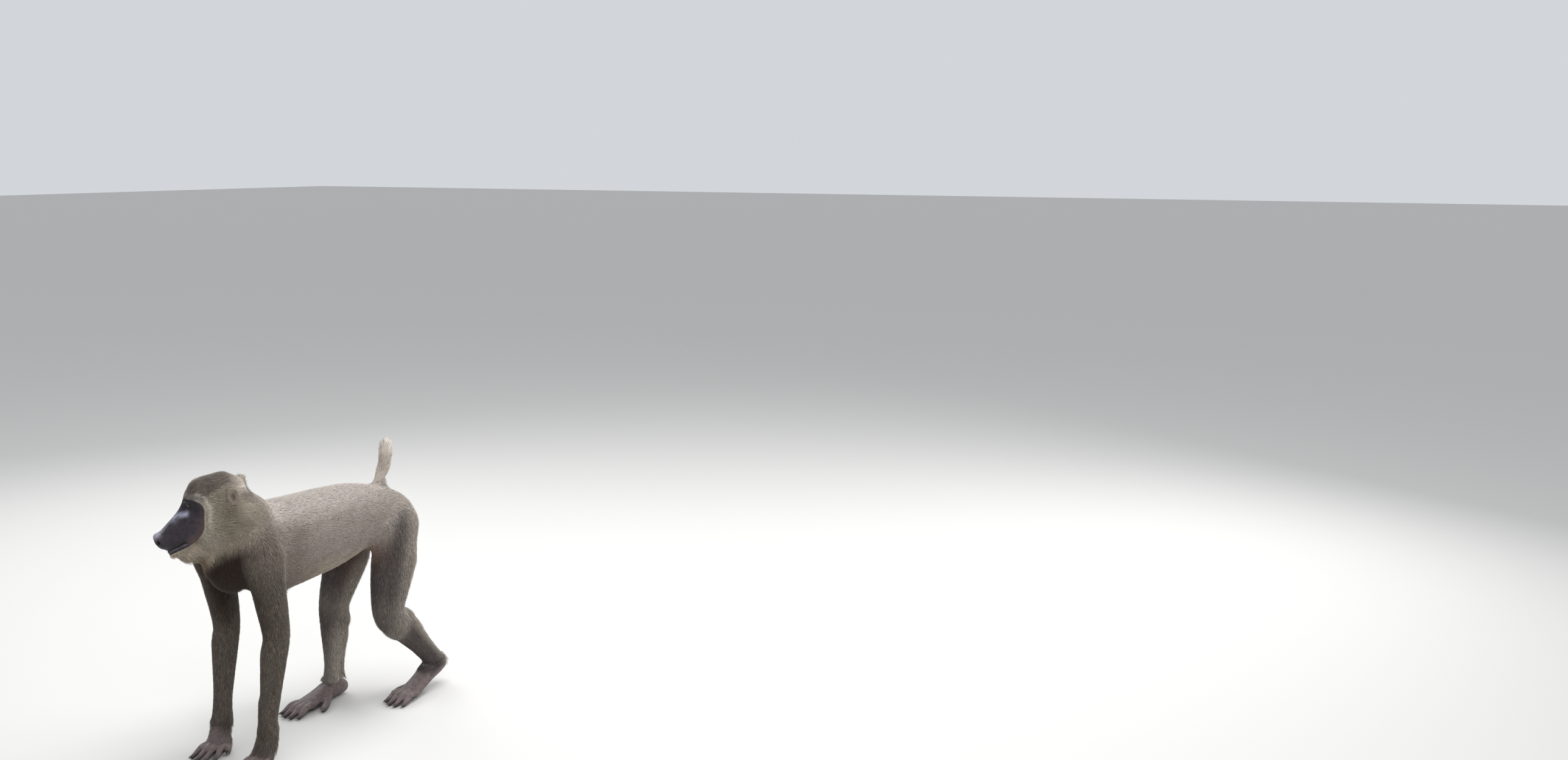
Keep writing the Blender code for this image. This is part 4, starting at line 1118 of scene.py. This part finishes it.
paintSkin(skin)
skin.data.materials.clear()
skin.data.materials.append(skinMaterial())
settleOn(skin, "coat", *fleshNodes)


# Eyes: a dark brown iris behind a wet cornea

eyeSizes = {
    "iris": 0.0058,
    "pupil": 0.0026,
    "cornea": 0.0008,
    "brown": (0.034, 0.016, 0.008),
    "white": (0.022, 0.016, 0.013),  # nearly as dark as the skin
}


def eyeMaterial():
    material, tree, shader = newMaterial("wetEye", 0.16, 0.35)
    shader.inputs["Coat Weight"].default_value = 0.15
    shader.inputs["Coat Roughness"].default_value = 0.05
    tintedBy(tree, shader, unevenly(tree, 900, 3, 0.7, 1.3))
    return material


def buildEye(side, material):
    radius = pose["eyeRadius"]
    bm = bmesh.new()
    bmesh.ops.create_uvsphere(bm, u_segments=48, v_segments=48, radius=radius)
    mesh = bpy.data.meshes.new("eye" + side.capitalize())
    bm.to_mesh(mesh)
    bm.free()
    points = meshPoints(mesh)
    off = np.hypot(points[:, 0], points[:, 1])
    front = points[:, 2] > 0
    bulge = eyeSizes["cornea"] * np.clip(1 - (off / eyeSizes["iris"]) ** 2, 0, 1)
    points[:, 2] += np.where(front, bulge, 0)
    colour = np.tile(np.array(eyeSizes["white"]), (len(points), 1))
    iris = smoothStep(eyeSizes["iris"], eyeSizes["iris"] * 0.92, off) * front
    colour += (np.array(eyeSizes["brown"]) - colour) * iris[:, None]
    rim = np.exp(-((off - eyeSizes["iris"]) / 0.0006) ** 2) * front
    colour *= 1 - 0.7 * rim[:, None]
    pupil = smoothStep(eyeSizes["pupil"], eyeSizes["pupil"] * 0.85, off) * front
    colour *= 1 - 0.95 * pupil[:, None]
    turn = eyeGaze(side).to_track_quat("Z", "Y").to_matrix()
    setPoints(mesh, points @ np.array(turn).T + np.array(eyeCentre(side)))
    paintPoints(mesh, colour)
    mesh.shade_smooth()
    mesh.materials.append(material)
    return settleOn(newObject("eye" + side.capitalize(), mesh), "eye", "eye_" + side)


wetEye = eyeMaterial()
for side in ("left", "right"):
    buildEye(side, wetEye)
print("eyes: two, with corneas")


# Ears: thin bowls with a rolled rim, a fold inside it and a short stalk, set where the solids have them

earSizes = {
    "half": (0.0125, 0.0155),  # across and up
    "bowl": 0.0042,
    "rim": 0.0020,
    "thickness": 0.0013,
    "stalk": 0.0120,
    "flare": 24,  # degrees that the rear edge stands out from the head
    "lean": 8,  # degrees that the top leans back
    "colour": (0.300, 0.240, 0.200),
    "inside": (0.170, 0.125, 0.105),
    "shift": (-0.0010, -0.0015, -0.0020),  # out, back and up from the middle of the solid
    "rings": 18,
    "steps": 48,
}


def earPoint(across, up, back):
    # out from the bowl at a place on its disc
    r = np.hypot(across, up)
    out = earSizes["bowl"] * r**2 + earSizes["rim"] * smoothStep(0.80, 0.96, r)
    out = out - 0.0010 * smoothStep(0.95, 1.0, r)
    fold = np.exp(-(((r - 0.58) / 0.10) ** 2)) * smoothStep(-0.5, 0.2, across)
    pit = np.exp(-(((across + 0.30) / 0.24) ** 2) - (((up + 0.18) / 0.28) ** 2))
    front = out + 0.0012 * fold - 0.0040 * pit
    stalk = np.exp(-(((across + 0.35) / 0.42) ** 2) - (up / 0.5) ** 2)
    rear = np.minimum(out - earSizes["thickness"] - earSizes["stalk"] * stalk, front - 0.0006)
    return np.where(back, rear, front)


def buildEar(side):
    sign = 1 if side == "left" else -1
    rings, steps = earSizes["rings"], earSizes["steps"]
    wide, tall = earSizes["half"]
    angles = np.arange(steps) * math.tau / steps
    spots, faces = [(0.0, 0.0, False)], []
    for back in (False, True):
        for k in range(1, rings + (0 if back else 1)):
            r = (k / rings) ** 0.8
            spots += [(r * math.cos(a), r * math.sin(a), back) for a in angles]
    spots.append((0.0, 0.0, True))
    across, up, back = (np.array(v) for v in zip(*spots))
    out = earPoint(across, up, back)
    tip = 1 + 0.07 * np.exp(-(((np.arctan2(up, across) - 0.9) / 0.5) ** 2))
    local = np.stack([across * wide * tip * 0.97, up * tall * tip, out], axis=1)
    frontStart, backStart = 1, 1 + rings * steps
    last = len(spots) - 1
    edge = frontStart + (rings - 1) * steps
    for j in range(steps):
        n = (j + 1) % steps
        faces.append((0, frontStart + j, frontStart + n))
        for k in range(rings - 1):
            a, b = frontStart + k * steps, frontStart + (k + 1) * steps
            faces.append((a + j, b + j, b + n, a + n))
        outer = backStart + (rings - 2) * steps
        faces.append((edge + j, outer + j, outer + n, edge + n))
        for k in range(rings - 2):
            a, b = backStart + k * steps, backStart + (k + 1) * steps
            faces.append((a + n, b + n, b + j, a + j))
        faces.append((backStart + j, last, backStart + n))
    flare, lean = math.radians(earSizes["flare"]), math.radians(earSizes["lean"])
    y = local[:, 0] * math.cos(flare) - local[:, 2] * math.sin(flare)
    x = local[:, 0] * math.sin(flare) + local[:, 2] * math.cos(flare)
    z = local[:, 1] * math.cos(lean) - y * math.sin(lean)
    y = y * math.cos(lean) + local[:, 1] * math.sin(lean)
    middle = np.array(toHead(np.array(boxCentre("ear_" + side))[None])[0])
    shift = np.array(earSizes["shift"]) * (sign, 1, 1)
    points = fromHead(np.stack([x * sign, y, z], axis=1) + middle + shift)
    faces = faces if sign > 0 else [face[::-1] for face in faces]
    mesh = bpy.data.meshes.new("ear" + side.capitalize())
    mesh.from_pydata([tuple(v) for v in points], [], faces)
    mesh.update()
    deep = smoothStep(0.75, 0.15, np.hypot(across + 0.2, up + 0.1)) * (~back)
    shade = 1 + 0.12 * softNoise(points, 0.006, 14)
    pale, dark = np.array(earSizes["colour"]), np.array(earSizes["inside"])
    colour = pale + (dark - pale) * deep[:, None]
    paintPoints(mesh, colour * shade[:, None])
    setShare(mesh, "bare", 0.6)
    rim = smoothStep(0.72, 0.92, np.hypot(across, up))
    setShare(mesh, "hairy", np.where(back, 1.0, rim * 0.85 + 0.12))
    mesh.shade_smooth()
    mesh.materials.append(skin.data.materials[0])
    return settleOn(newObject("ear" + side.capitalize(), mesh), "face_skin", "ear_" + side)


ears = [buildEar(side) for side in ("left", "right")]
print("ears: two bowls")


# Nails: a dark plate on the end of every finger and toe

nailSizes = {
    "half": (0.0031, 0.0050, 0.0017),  # across, along and up, on a fingertip
    "fingertip": 0.0043,
    "colour": (0.045, 0.036, 0.032),
    "tipColour": (0.15, 0.125, 0.10),
}


def nailMaterial():
    material, tree, shader = newMaterial("darkNail", 0.35, 0.5)
    tintedBy(tree, shader, unevenly(tree, 1200, 3, 0.75, 1.25))
    return material


def buildNails():
    spots, faces, colours = [], [], []
    bm = bmesh.new()
    bmesh.ops.create_uvsphere(bm, u_segments=16, v_segments=12, radius=1)
    ball = np.array([v.co[:] for v in bm.verts])
    quads = [[v.index for v in f.verts] for f in bm.faces]
    bm.free()
    for path, radius in digitPaths():
        way = (path[-1] - path[-2]).normalized()
        way = Vector((way.x, way.y, way.z * 0.6)).normalized()
        across = way.cross(Vector((0, 0, 1))).normalized()
        up = across.cross(way)
        wide, long, high = (size * radius / nailSizes["fingertip"] for size in nailSizes["half"])
        shape = ball.copy()
        shape[:, 2] -= 0.55 * shape[:, 0] ** 2 + 0.20 * np.clip(shape[:, 1], 0, 1) ** 2
        shape = shape * (wide, long, high)
        centre = path[-1] + way * 0.0016 + up * (radius * 0.66)
        points = shape @ np.array((across, way, up)) + np.array(centre)
        first = sum(len(part) for part in spots)
        faces += [[first + i for i in quad] for quad in quads]
        spots.append(points)
        tip = smoothStep(0.35, 0.95, ball[:, 1])[:, None]
        root, end = np.array(nailSizes["colour"]), np.array(nailSizes["tipColour"])
        colours.append(root * (1 - tip) + end * tip)
    mesh = bpy.data.meshes.new("nails")
    mesh.from_pydata([tuple(v) for v in np.concatenate(spots)], [], faces)
    mesh.update()
    paintPoints(mesh, np.concatenate(colours))
    mesh.shade_smooth()
    mesh.materials.append(nailMaterial())
    settleOn(newObject("nails", mesh), "hand_skin")
    print("nails:", len(spots))


buildNails()


# The coat: closed, tapered tufts, each rooted just under the skin and lying along its lie

# length, width, thickness, lift at the root and at the tip in degrees, tufts a square centimetre
coatSizes = {
    "crown": (0.0125, 0.00080, 0.00030, 19, 10, 88),
    "cheek": (0.0190, 0.00085, 0.00030, 18, 9, 80),
    "chin": (0.0120, 0.00075, 0.00026, 22, 11, 95),
    "neck": (0.0200, 0.00100, 0.00034, 17, 7, 60),
    "throat": (0.0185, 0.00100, 0.00034, 20, 10, 58),
    "back": (0.0185, 0.00100, 0.00034, 12, 5, 52),
    "belly": (0.0185, 0.00100, 0.00034, 14, 7, 50),
    "rumpEnd": (0.0165, 0.00098, 0.00034, 13, 6, 55),
    "upperArm": (0.0145, 0.00092, 0.00032, 16, 8, 60),
    "forearm": (0.0120, 0.00082, 0.00030, 15, 7, 70),
    "thigh": (0.0150, 0.00092, 0.00032, 15, 7, 58),
    "shank": (0.0120, 0.00082, 0.00030, 15, 7, 70),
    "tailRoot": (0.0165, 0.00085, 0.00028, 34, 22, 95),
    "tailEnd": (0.0195, 0.00085, 0.00028, 36, 26, 110),
}
coatShapes = {
    "beardPath": ((0, -0.112, -0.088), (0, -0.082, -0.094), (0, -0.050, -0.096)),  # in the head's frame
    "beardReach": 0.021,
    "beardLonger": 1.2,
    "beardLift": (26, 20),  # more degrees at the root and at the tip
    "napeLonger": 0.30,
    "napeLift": (7, 4),
    "fringeLonger": 0.35,  # at the wrists and ankles
    "rearLonger": 0.40,  # behind the legs
    "rearLift": (13, 8),
    "pawFade": (-0.004, 0.034),  # past the coat's edge, where it thins out on hands and feet
    "combedDown": 1.3,  # the fronts of the shoulders and the chest
    "swing": (0.12, 0.030, 0.08),  # of the lie, in broad waves, their length, and from tuft to tuft
    "rooted": 0.0012,  # how deep each tuft starts
    "bendAt": 0.42,  # of its length
    "sway": 0.07,
    "lengths": (0.8, 1.15),
    "widths": (0.8, 1.2),
    "gather": ((0.08, 0.30), (0.15, 0.30)),  # tips into locks: least and most, and how much more if loose
    "shades": (0.92, 0.98, 0.98, 1.0, 1.08),  # of the root, the three middle points and the tip
    "softness": 0.30,  # how far each tuft's sides turn from the skin's own shading
}
coatPieces = {  # piece: the bones whose tufts it holds
    "coatCrown": ("crown",),
    "coatCheekLeft": ("cheekLeft",),
    "coatCheekRight": ("cheekRight",),
    "coatChin": ("chin",),
    "coatNeck": ("neck", "throat"),
    "coatBackLeft": ("back", "belly"),
    "coatBackRight": ("back", "belly"),
    "coatRump": ("rumpEnd",),
    "coatArmLeft": ("upperArmLeft", "forearmLeft"),
    "coatArmRight": ("upperArmRight", "forearmRight"),
    "coatLegLeft": ("thighLeft", "shankLeft"),
    "coatLegRight": ("thighRight", "shankRight"),
    "coatTail": ("tailRoot", "tailEnd"),
}
coatLimits = {"tuftsInPiece": 32500, "tuftsInAll": 234000, "patch": 0.003, "clump": 0.0050}


def trianglesOf(mesh):
    mesh.calc_loop_triangles()
    corners = np.empty(len(mesh.loop_triangles) * 3, np.int32)
    mesh.loop_triangles.foreach_get("vertices", corners)
    return corners.reshape(-1, 3)


def plantRoots(mesh, density, seed):
    # roots spread evenly over a mesh, by its density of tufts a square metre at each point
    points, corners = meshPoints(mesh), trianglesOf(mesh)
    a, b, c = (points[corners[:, k]] for k in range(3))
    area = np.linalg.norm(np.cross(b - a, c - a), axis=1) / 2
    weight = area * density[corners].mean(1)
    wanted = weight.sum()
    weight *= min(1.0, coatLimits["tuftsInAll"] / wanted)
    total = np.cumsum(weight)
    draw = np.random.default_rng(seed)
    steps = np.arange(int(total[-1])) + draw.uniform(0, 1, int(total[-1]))
    chosen = np.searchsorted(total, np.clip(steps, 0, total[-1] - 1e-6))
    r, s = draw.uniform(size=(2, len(chosen)))
    flip = r + s > 1
    r, s = np.where(flip, 1 - r, r), np.where(flip, 1 - s, s)
    t = 1 - r - s
    tri = corners[chosen]
    roots = points[tri[:, 0]] * t[:, None] + points[tri[:, 1]] * r[:, None] + points[tri[:, 2]] * s[:, None]
    normals = unit(relax(meshNormals(mesh), meshEdges(mesh), 3, 0.5))
    outs = unit(normals[tri].mean(1))
    print("coat:", int(wanted), "tufts wanted,", len(roots), "planted")
    return roots, outs


def skinDensity(mesh):
    points = meshPoints(mesh)
    shares = boneShares(points)
    density = sum(shares[name] * forBone(coatSizes, name)[5] for name in shares) * 1e4
    tailFoot = np.linalg.norm(points - np.array(joints["tailBase"]), axis=1)
    density *= 1 + 0.5 * smoothStep(0.045, 0.020, tailFoot)
    density *= 1 - smoothStep(0.35, 0.75, np.maximum(bareFace(points), barePads(points)))
    past = pastCoatEdge(points)
    wave = edgeWave(points, pawEdges["coatWaves"])
    sole = smoothStep(0.0, 0.006, past) * smoothStep(0.1, -0.4, meshNormals(mesh)[:, 2])
    return density * (1 - smoothStep(*coatShapes["pawFade"], past + wave)) * (1 - sole)


def lieOf(roots, outs, shares):
    way = sum(boneWay(name) * shares[name][:, None] for name in shares)
    # the fronts of the shoulders and the chest are combed down
    trunk = sum(shares[name] for name in ("back", "belly", "neck", "throat", "upperArmLeft", "upperArmRight"))
    front = trunk * smoothStep(0.1, -0.7, outs[:, 1])
    way = unit(way - np.array((0, 0, coatShapes["combedDown"])) * front[:, None])
    for _, start, end in bareLimbs.values():
        start, end = (np.array(Vector(place) + centring) for place in (start, end))
        near = smoothStep(0.035, 0.020, distanceToLine(roots, start, end)[0])
        onPaw = near * smoothStep(-0.012, 0.006, pastCoatEdge(roots)) * (roots[:, 2] < pawEdges["below"])
        way = unit(way + (unit((end - start)[None]) - way) * onPaw[:, None])
    way = way - outs * (way * outs).sum(1)[:, None]
    return unit(way), np.linalg.norm(way, axis=1)


def unwrapSkin(skin):
    # an unwrap of the skin's own shape, from which each tuft takes its patch
    shape = newObject("unwrap", skin.data.copy())
    thin = shape.modifiers.new("thin", "DECIMATE")
    thin.ratio = 0.04
    applied(shape)
    bpy.context.view_layer.objects.active = shape
    shape.select_set(True)
    bpy.ops.object.mode_set(mode="EDIT")
    bpy.ops.mesh.select_all(action="SELECT")
    bpy.ops.uv.smart_project(angle_limit=math.radians(66), island_margin=0.004)
    bpy.ops.object.mode_set(mode="OBJECT")
    mesh = shape.data
    layer = mesh.uv_layers.active.data
    uv = np.empty(len(mesh.loops) * 2, np.float32)
    layer.foreach_get("uv", uv)
    uv = uv.reshape(-1, 2)
    mesh.calc_loop_triangles()
    loops = np.empty(len(mesh.loop_triangles) * 3, np.int32)
    mesh.loop_triangles.foreach_get("loops", loops)
    corners = trianglesOf(mesh)
    points = meshPoints(mesh)
    tree = BVHTree.FromPolygons([tuple(v) for v in points], [tuple(int(i) for i in t) for t in corners])
    bpy.data.objects.remove(shape)
    return tree, points, corners, uv[loops].reshape(-1, 3, 2)


def rootPatches(roots, unwrap):
    tree, points, corners, uv = unwrap
    found = np.zeros(len(roots), int)
    for i, root in enumerate(roots):
        found[i] = tree.find_nearest(Vector(root))[2]
    tri = corners[found]
    a, b, c = points[tri[:, 0]], points[tri[:, 1]], points[tri[:, 2]]
    ab, ac, ap = b - a, c - a, roots - a
    d00, d01, d11 = (ab * ab).sum(1), (ab * ac).sum(1), (ac * ac).sum(1)
    d20, d21 = (ap * ab).sum(1), (ap * ac).sum(1)
    base = np.maximum(d00 * d11 - d01 * d01, 1e-20)
    v = np.clip((d11 * d20 - d01 * d21) / base, 0, 1)
    w = np.clip((d00 * d21 - d01 * d20) / base, 0, 1)
    over = np.maximum(v + w, 1)
    v, w = v / over, w / over
    place = uv[found]
    return place[:, 0] * (1 - v - w)[:, None] + place[:, 1] * v[:, None] + place[:, 2] * w[:, None]


def tuftArrays(roots, outs, lies, sizes, draw):
    # sizes are length, width, thickness, lift at root and at tip; returns root, three at the middle, tip
    length, width, thick, lift, tipLift = sizes.T
    across = unit(np.cross(lies, outs))
    a1, a2 = np.radians(lift), np.radians(tipLift)
    first = coatShapes["bendAt"] * length
    second = length - first
    start = roots - (outs + lies) * coatShapes["rooted"]
    middle = roots + lies * (first * np.cos(a1))[:, None] + outs * (first * np.sin(a1))[:, None]
    tip = middle + lies * (second * np.cos(a2))[:, None] + outs * (second * np.sin(a2))[:, None]
    bend = draw.normal(0, coatShapes["sway"], len(roots)) * length
    middle = middle + across * (bend * 0.25)[:, None]
    tip = tip + across * (bend * 0.8)[:, None]
    half = across * (width / 2)[:, None]
    ridge = outs * thick[:, None]
    return np.stack([start, middle + half, middle - half, middle + ridge, tip], axis=1)


tuftFaces = np.array([(1, 2, 4), (2, 3, 4), (3, 1, 4), (2, 1, 0), (3, 2, 0), (1, 3, 0)])


def gatherTips(tufts, roots, draw, least, most):
    # draws neighbouring tips together into locks
    cells = np.floor(roots / coatLimits["clump"] + draw.uniform(0, 1, 3)).astype(int)
    _, clump = np.unique(cells, axis=0, return_inverse=True)
    clump = clump.ravel()
    count = np.bincount(clump)
    middle = np.stack([np.bincount(clump, tufts[:, 4, k]) / count for k in range(3)], axis=1)[clump]
    pull = (least + (most - least) * draw.uniform(size=len(roots)))[:, None]
    move = (middle - tufts[:, 4]) * pull
    tufts[:, 4] += move
    tufts[:, 1:4] += (move * 0.2)[:, None, :]


speckles = {  # each with its value on a plain coat, and how much more it is on a speckled one
    "spread": (0.07, 0.18),
    "darkShare": (0.02, 0.14),
    "paleShare": (0.0, 0.10),
    "dark": 0.65,
    "pale": 1.7,
    "warmth": 0.025,
}


def shadeTufts(colour, rough, draw):
    # each tuft has its own shade, more so where the coat is speckled
    count = len(colour)
    chosen = (speckles[name] for name in ("spread", "darkShare", "paleShare"))
    spread, darkShare, paleShare = (plain + more * rough for plain, more in chosen)
    grizzle = 1 + draw.uniform(-1, 1, count) * spread
    dark = draw.uniform(size=count) < darkShare
    pale = draw.uniform(size=count) < paleShare
    grizzle = np.where(dark, grizzle * speckles["dark"], np.where(pale, grizzle * speckles["pale"], grizzle))
    warm = draw.normal(0, speckles["warmth"], count)
    return colour * grizzle[:, None] * np.stack([1 + warm, np.ones(count), 1 - warm], axis=1)


def growCoat(skin):
    roots, outs = plantRoots(skin.data, skinDensity(skin.data), 21)
    shares = boneShares(roots)
    names = list(shares)
    table = np.array([shares[name] for name in names]).T
    draw = np.random.default_rng(33)
    lies, hold = lieOf(roots, outs, shares)
    broad, size, each = coatShapes["swing"]
    swing = broad * softNoise(roots, size, 41) + draw.normal(0, each, len(roots))
    lies = unit(lies + np.cross(lies, outs) * swing[:, None])
    sizes = table @ np.array([forBone(coatSizes, name)[:5] for name in names])
    shorter = 1 - 0.55 * smoothStep(0.0, 0.6, np.maximum(bareFace(roots), barePads(roots)))
    inside = faceDistance(roots)
    p = toHead(roots)
    beard = np.exp(-((distanceToPath(p, coatShapes["beardPath"]) / coatShapes["beardReach"]) ** 2))
    shorter *= 1 - 0.50 * smoothStep(-0.024, -0.003, inside) * (1 - beard)
    shorter *= 0.45 + 0.55 * smoothStep(0.0, 0.6, hold)  # where the coat parts
    past, low = pastCoatEdge(roots), roots[:, 2] < pawEdges["below"]
    shorter *= 1 - 0.60 * smoothStep(0.000, 0.026, past) * low
    nape = smoothStep(0.004, 0.026, p[:, 1]) * smoothStep(-0.004, 0.020, p[:, 2]) * (np.abs(p[:, 0]) < 0.05)
    fringe = smoothStep(-0.026, -0.004, past) * low
    rear = sum(legRear(roots, shares, side, "longHair") for side in ("Left", "Right"))
    rear *= smoothStep(0.34, 0.29, roots[:, 2])
    longer = 1 + coatShapes["napeLonger"] * nape + coatShapes["beardLonger"] * beard
    longer += coatShapes["fringeLonger"] * fringe + coatShapes["rearLonger"] * rear
    sizes[:, 0] *= draw.uniform(*coatShapes["lengths"], len(roots)) * shorter * longer
    narrower = (0.6 + 0.4 * shorter) * (1 - 0.25 * fringe)
    sizes[:, 1] *= draw.uniform(*coatShapes["widths"], len(roots)) * narrower
    for column, spread, k in ((3, 2.5, 0), (4, 3.5, 1)):
        turned = coatShapes["napeLift"][k] * nape + coatShapes["beardLift"][k] * beard
        turned += coatShapes["rearLift"][k] * rear
        sizes[:, column] += draw.normal(0, spread, len(roots)) + turned
    tufts = tuftArrays(roots, outs, lies, sizes, draw)
    loose = sum(shares[name] for name in ("cheekLeft", "cheekRight", "tailRoot", "tailEnd", "throat"))
    least, most = (base + more * loose for base, more in zip(*coatShapes["gather"]))
    gatherTips(tufts, roots, draw, least, most)
    tufts[:, :, 2] = np.maximum(tufts[:, :, 2], 0.0006)  # none goes through the floor
    arms = sum(shares[name] for name in names if "Arm" in name or "arm" in name)
    legs = sum(shares[name] for name in names if "thigh" in name or "shank" in name)
    rough = np.clip(arms + 0.7 * legs + 0.5 * shares["crown"] + 0.4 * shares["neck"], 0, 1)
    colour = shadeTufts(coatMarkingAndPaintedLight(roots, shares), rough, draw)
    main = np.array(names)[table.argmax(1)]
    return tufts, colour, main, roots, outs


earHair = {
    "tufts": 65,  # a square centimetre
    "size": (0.0068, 0.00055, 0.00022, 10, 4),  # as in coatSizes
    "lie": (0, 0.85, 0.5),
    "colour": (0.420, 0.360, 0.290),
}


def growEarHair(ear, seed):
    # short hair on the ear's back and rim
    mesh = ear.data
    hairy = np.empty(len(mesh.vertices), np.float32)
    mesh.attributes["hairy"].data.foreach_get("value", hairy)
    roots, outs = plantRoots(mesh, hairy.astype(float) * earHair["tufts"] * 1e4, seed)
    draw = np.random.default_rng(seed)
    way = np.array(headTurn @ Vector(earHair["lie"]).normalized())
    lies = way - outs * (outs @ way)[:, None] + draw.normal(0, 0.15, (len(roots), 3))
    lies = unit(lies - outs * (lies * outs).sum(1)[:, None])
    sizes = np.tile(np.array(earHair["size"]), (len(roots), 1)) * draw.uniform(0.75, 1.2, (len(roots), 1))
    tufts = tuftArrays(roots, outs, lies, sizes, draw)
    colour = shadeTufts(np.tile(np.array(earHair["colour"]), (len(roots), 1)), 0.1, draw)
    return tufts, colour, roots, outs


def coatPiece(name, tufts, colour, patches, outs, material):
    count = len(tufts)
    mesh = bpy.data.meshes.new(name)
    faces = (tuftFaces[None] + np.arange(count)[:, None, None] * 5).reshape(-1, 3)
    mesh.vertices.add(count * 5)
    mesh.vertices.foreach_set("co", tufts.astype(np.float32).ravel())
    mesh.loops.add(len(faces) * 3)
    mesh.loops.foreach_set("vertex_index", faces.astype(np.int32).ravel())
    mesh.polygons.add(len(faces))
    mesh.polygons.foreach_set("loop_start", np.arange(0, len(faces) * 3, 3, dtype=np.int32))
    mesh.update(calc_edges=True)
    shade = np.array(coatShapes["shades"])
    paintPoints(mesh, (colour[:, None, :] * shade[None, :, None]).reshape(-1, 3))
    corner = np.array([(0, -1), (-1, 0), (1, 0), (0, 0), (0, 1)]) * coatLimits["patch"] / 2
    spread = (patches[:, None, :] + corner[None]).reshape(-1, 2)
    layer = mesh.uv_layers.new(name="OFBake")
    layer.data.foreach_set("uv", np.clip(spread[faces.ravel()], 0, 1).astype(np.float32).ravel())
    mesh.shade_smooth()
    # the tufts are shaded much as the skin under them, which keeps the coat soft
    across = unit(tufts[:, 1] - tufts[:, 2]) * coatShapes["softness"]
    normals = np.stack([outs, outs + across, outs - across, outs, outs], axis=1).reshape(-1, 3)
    mesh.normals_split_custom_set_from_vertices(unit(normals))
    mesh.materials.append(material)
    return settleOn(newObject(name, mesh), "coat")


tufts, tuftColours, main, roots, tuftOuts = growCoat(skin)
unwrap = unwrapSkin(skin)
patches = rootPatches(roots, unwrap)
coatHair = coatMaterial()
allTufts = 0
trianglesInTuft = len(tuftFaces)
for name, held in coatPieces.items():
    mine = np.isin(main, held)
    if name.startswith("coatBack"):
        mine &= (roots[:, 0] > 0) == name.endswith("Left")
    index = np.flatnonzero(mine)
    parts = max(1, math.ceil(len(index) / coatLimits["tuftsInPiece"]))
    index = index[np.argsort(roots[index, 1])]
    for k, share in enumerate(np.array_split(index, parts)):
        label = name if parts == 1 else name + str(k + 1)
        coatPiece(label, tufts[share], tuftColours[share], patches[share], tuftOuts[share], coatHair)
        allTufts += len(share)
earTufts = [growEarHair(ear, 50 + k) for k, ear in enumerate(ears)]
tufts, tuftColours, roots, tuftOuts = (np.concatenate(parts) for parts in zip(*earTufts))
coatPiece("coatEars", tufts, tuftColours, rootPatches(roots, unwrap), tuftOuts, coatHair)
allTufts += len(roots)
print("coat:", allTufts, "tufts,", allTufts * trianglesInTuft, "triangles")


# Floor, light and camera

stageSizes = {
    "floor": 60.0,
    "floorColour": (0.62, 0.61, 0.59, 1),
    "sky": (0.86, 0.89, 0.93, 1),
    "skyStrength": 0.75,
    "lens": 33.54,
    "cameraPlace": (2.012, -1.945, 1.076),  # before the whole was centred on its box
    "cameraTurn": 27.66,  # degrees from straight along +Y
    "cameraFall": 8.99,
}


def buildFloor():
    mesh = bpy.data.meshes.new("floor")
    half = stageSizes["floor"] / 2
    corners = [(-half, -half, 0), (half, -half, 0), (half, half, 0), (-half, half, 0)]
    mesh.from_pydata(corners, [], [(0, 1, 2, 3)])
    material, _, shader = newMaterial("paleFloor", 0.8, 0.2)
    shader.inputs["Base Color"].default_value = stageSizes["floorColour"]
    mesh.materials.append(material)
    floor = newObject("floor", mesh)


panels = {  # place, width, power, and whether skin and eyes mirror it
    "skyPanel": ((0.3, 0.6, 2.6), 2.2, 60, False),  # too wide to show in the eyes
    "frontPanel": ((2.0, -1.6, 1.8), 1.6, 16, True),
    "rearPanel": ((-1.8, 1.0, 1.6), 1.4, 14, True),
    "rimPanel": ((1.5, 2.4, 1.5), 1.4, 24, True),
}


def areaLight(name, place, size, power, mirrored):
    light = bpy.data.lights.new(name, "AREA")
    light.shape = "DISK"
    light.size = size
    light.energy = power
    lamp = bpy.data.objects.new(name, light)
    scene.collection.objects.link(lamp)
    lamp.location = place
    lamp.visible_glossy = mirrored
    lamp.rotation_mode = "QUATERNION"
    lamp.rotation_quaternion = (Vector(place) - Vector((0, 0, 0.3))).to_track_quat("Z", "Y")


buildFloor()
for name, panel in panels.items():
    areaLight(name, *panel)
world = bpy.data.worlds.new("softSky")
world.use_nodes = True
background = world.node_tree.nodes["Background"]
background.inputs["Color"].default_value = stageSizes["sky"]
background.inputs["Strength"].default_value = stageSizes["skyStrength"]
scene.world = world

camera = bpy.data.objects.new("camera", bpy.data.cameras.new("camera"))
scene.collection.objects.link(camera)
camera.data.sensor_width = 36
camera.data.lens = stageSizes["lens"]
camera.location = Vector(stageSizes["cameraPlace"]) + centring
turn, fall = math.radians(stageSizes["cameraTurn"]), math.radians(stageSizes["cameraFall"])
forward = Vector((-math.sin(turn) * math.cos(fall), math.cos(turn) * math.cos(fall), -math.sin(fall)))
camera.rotation_mode = "QUATERNION"
camera.rotation_quaternion = forward.to_track_quat("-Z", "Y")
scene.camera = camera
scene.view_settings.view_transform = "Standard"

print("done")
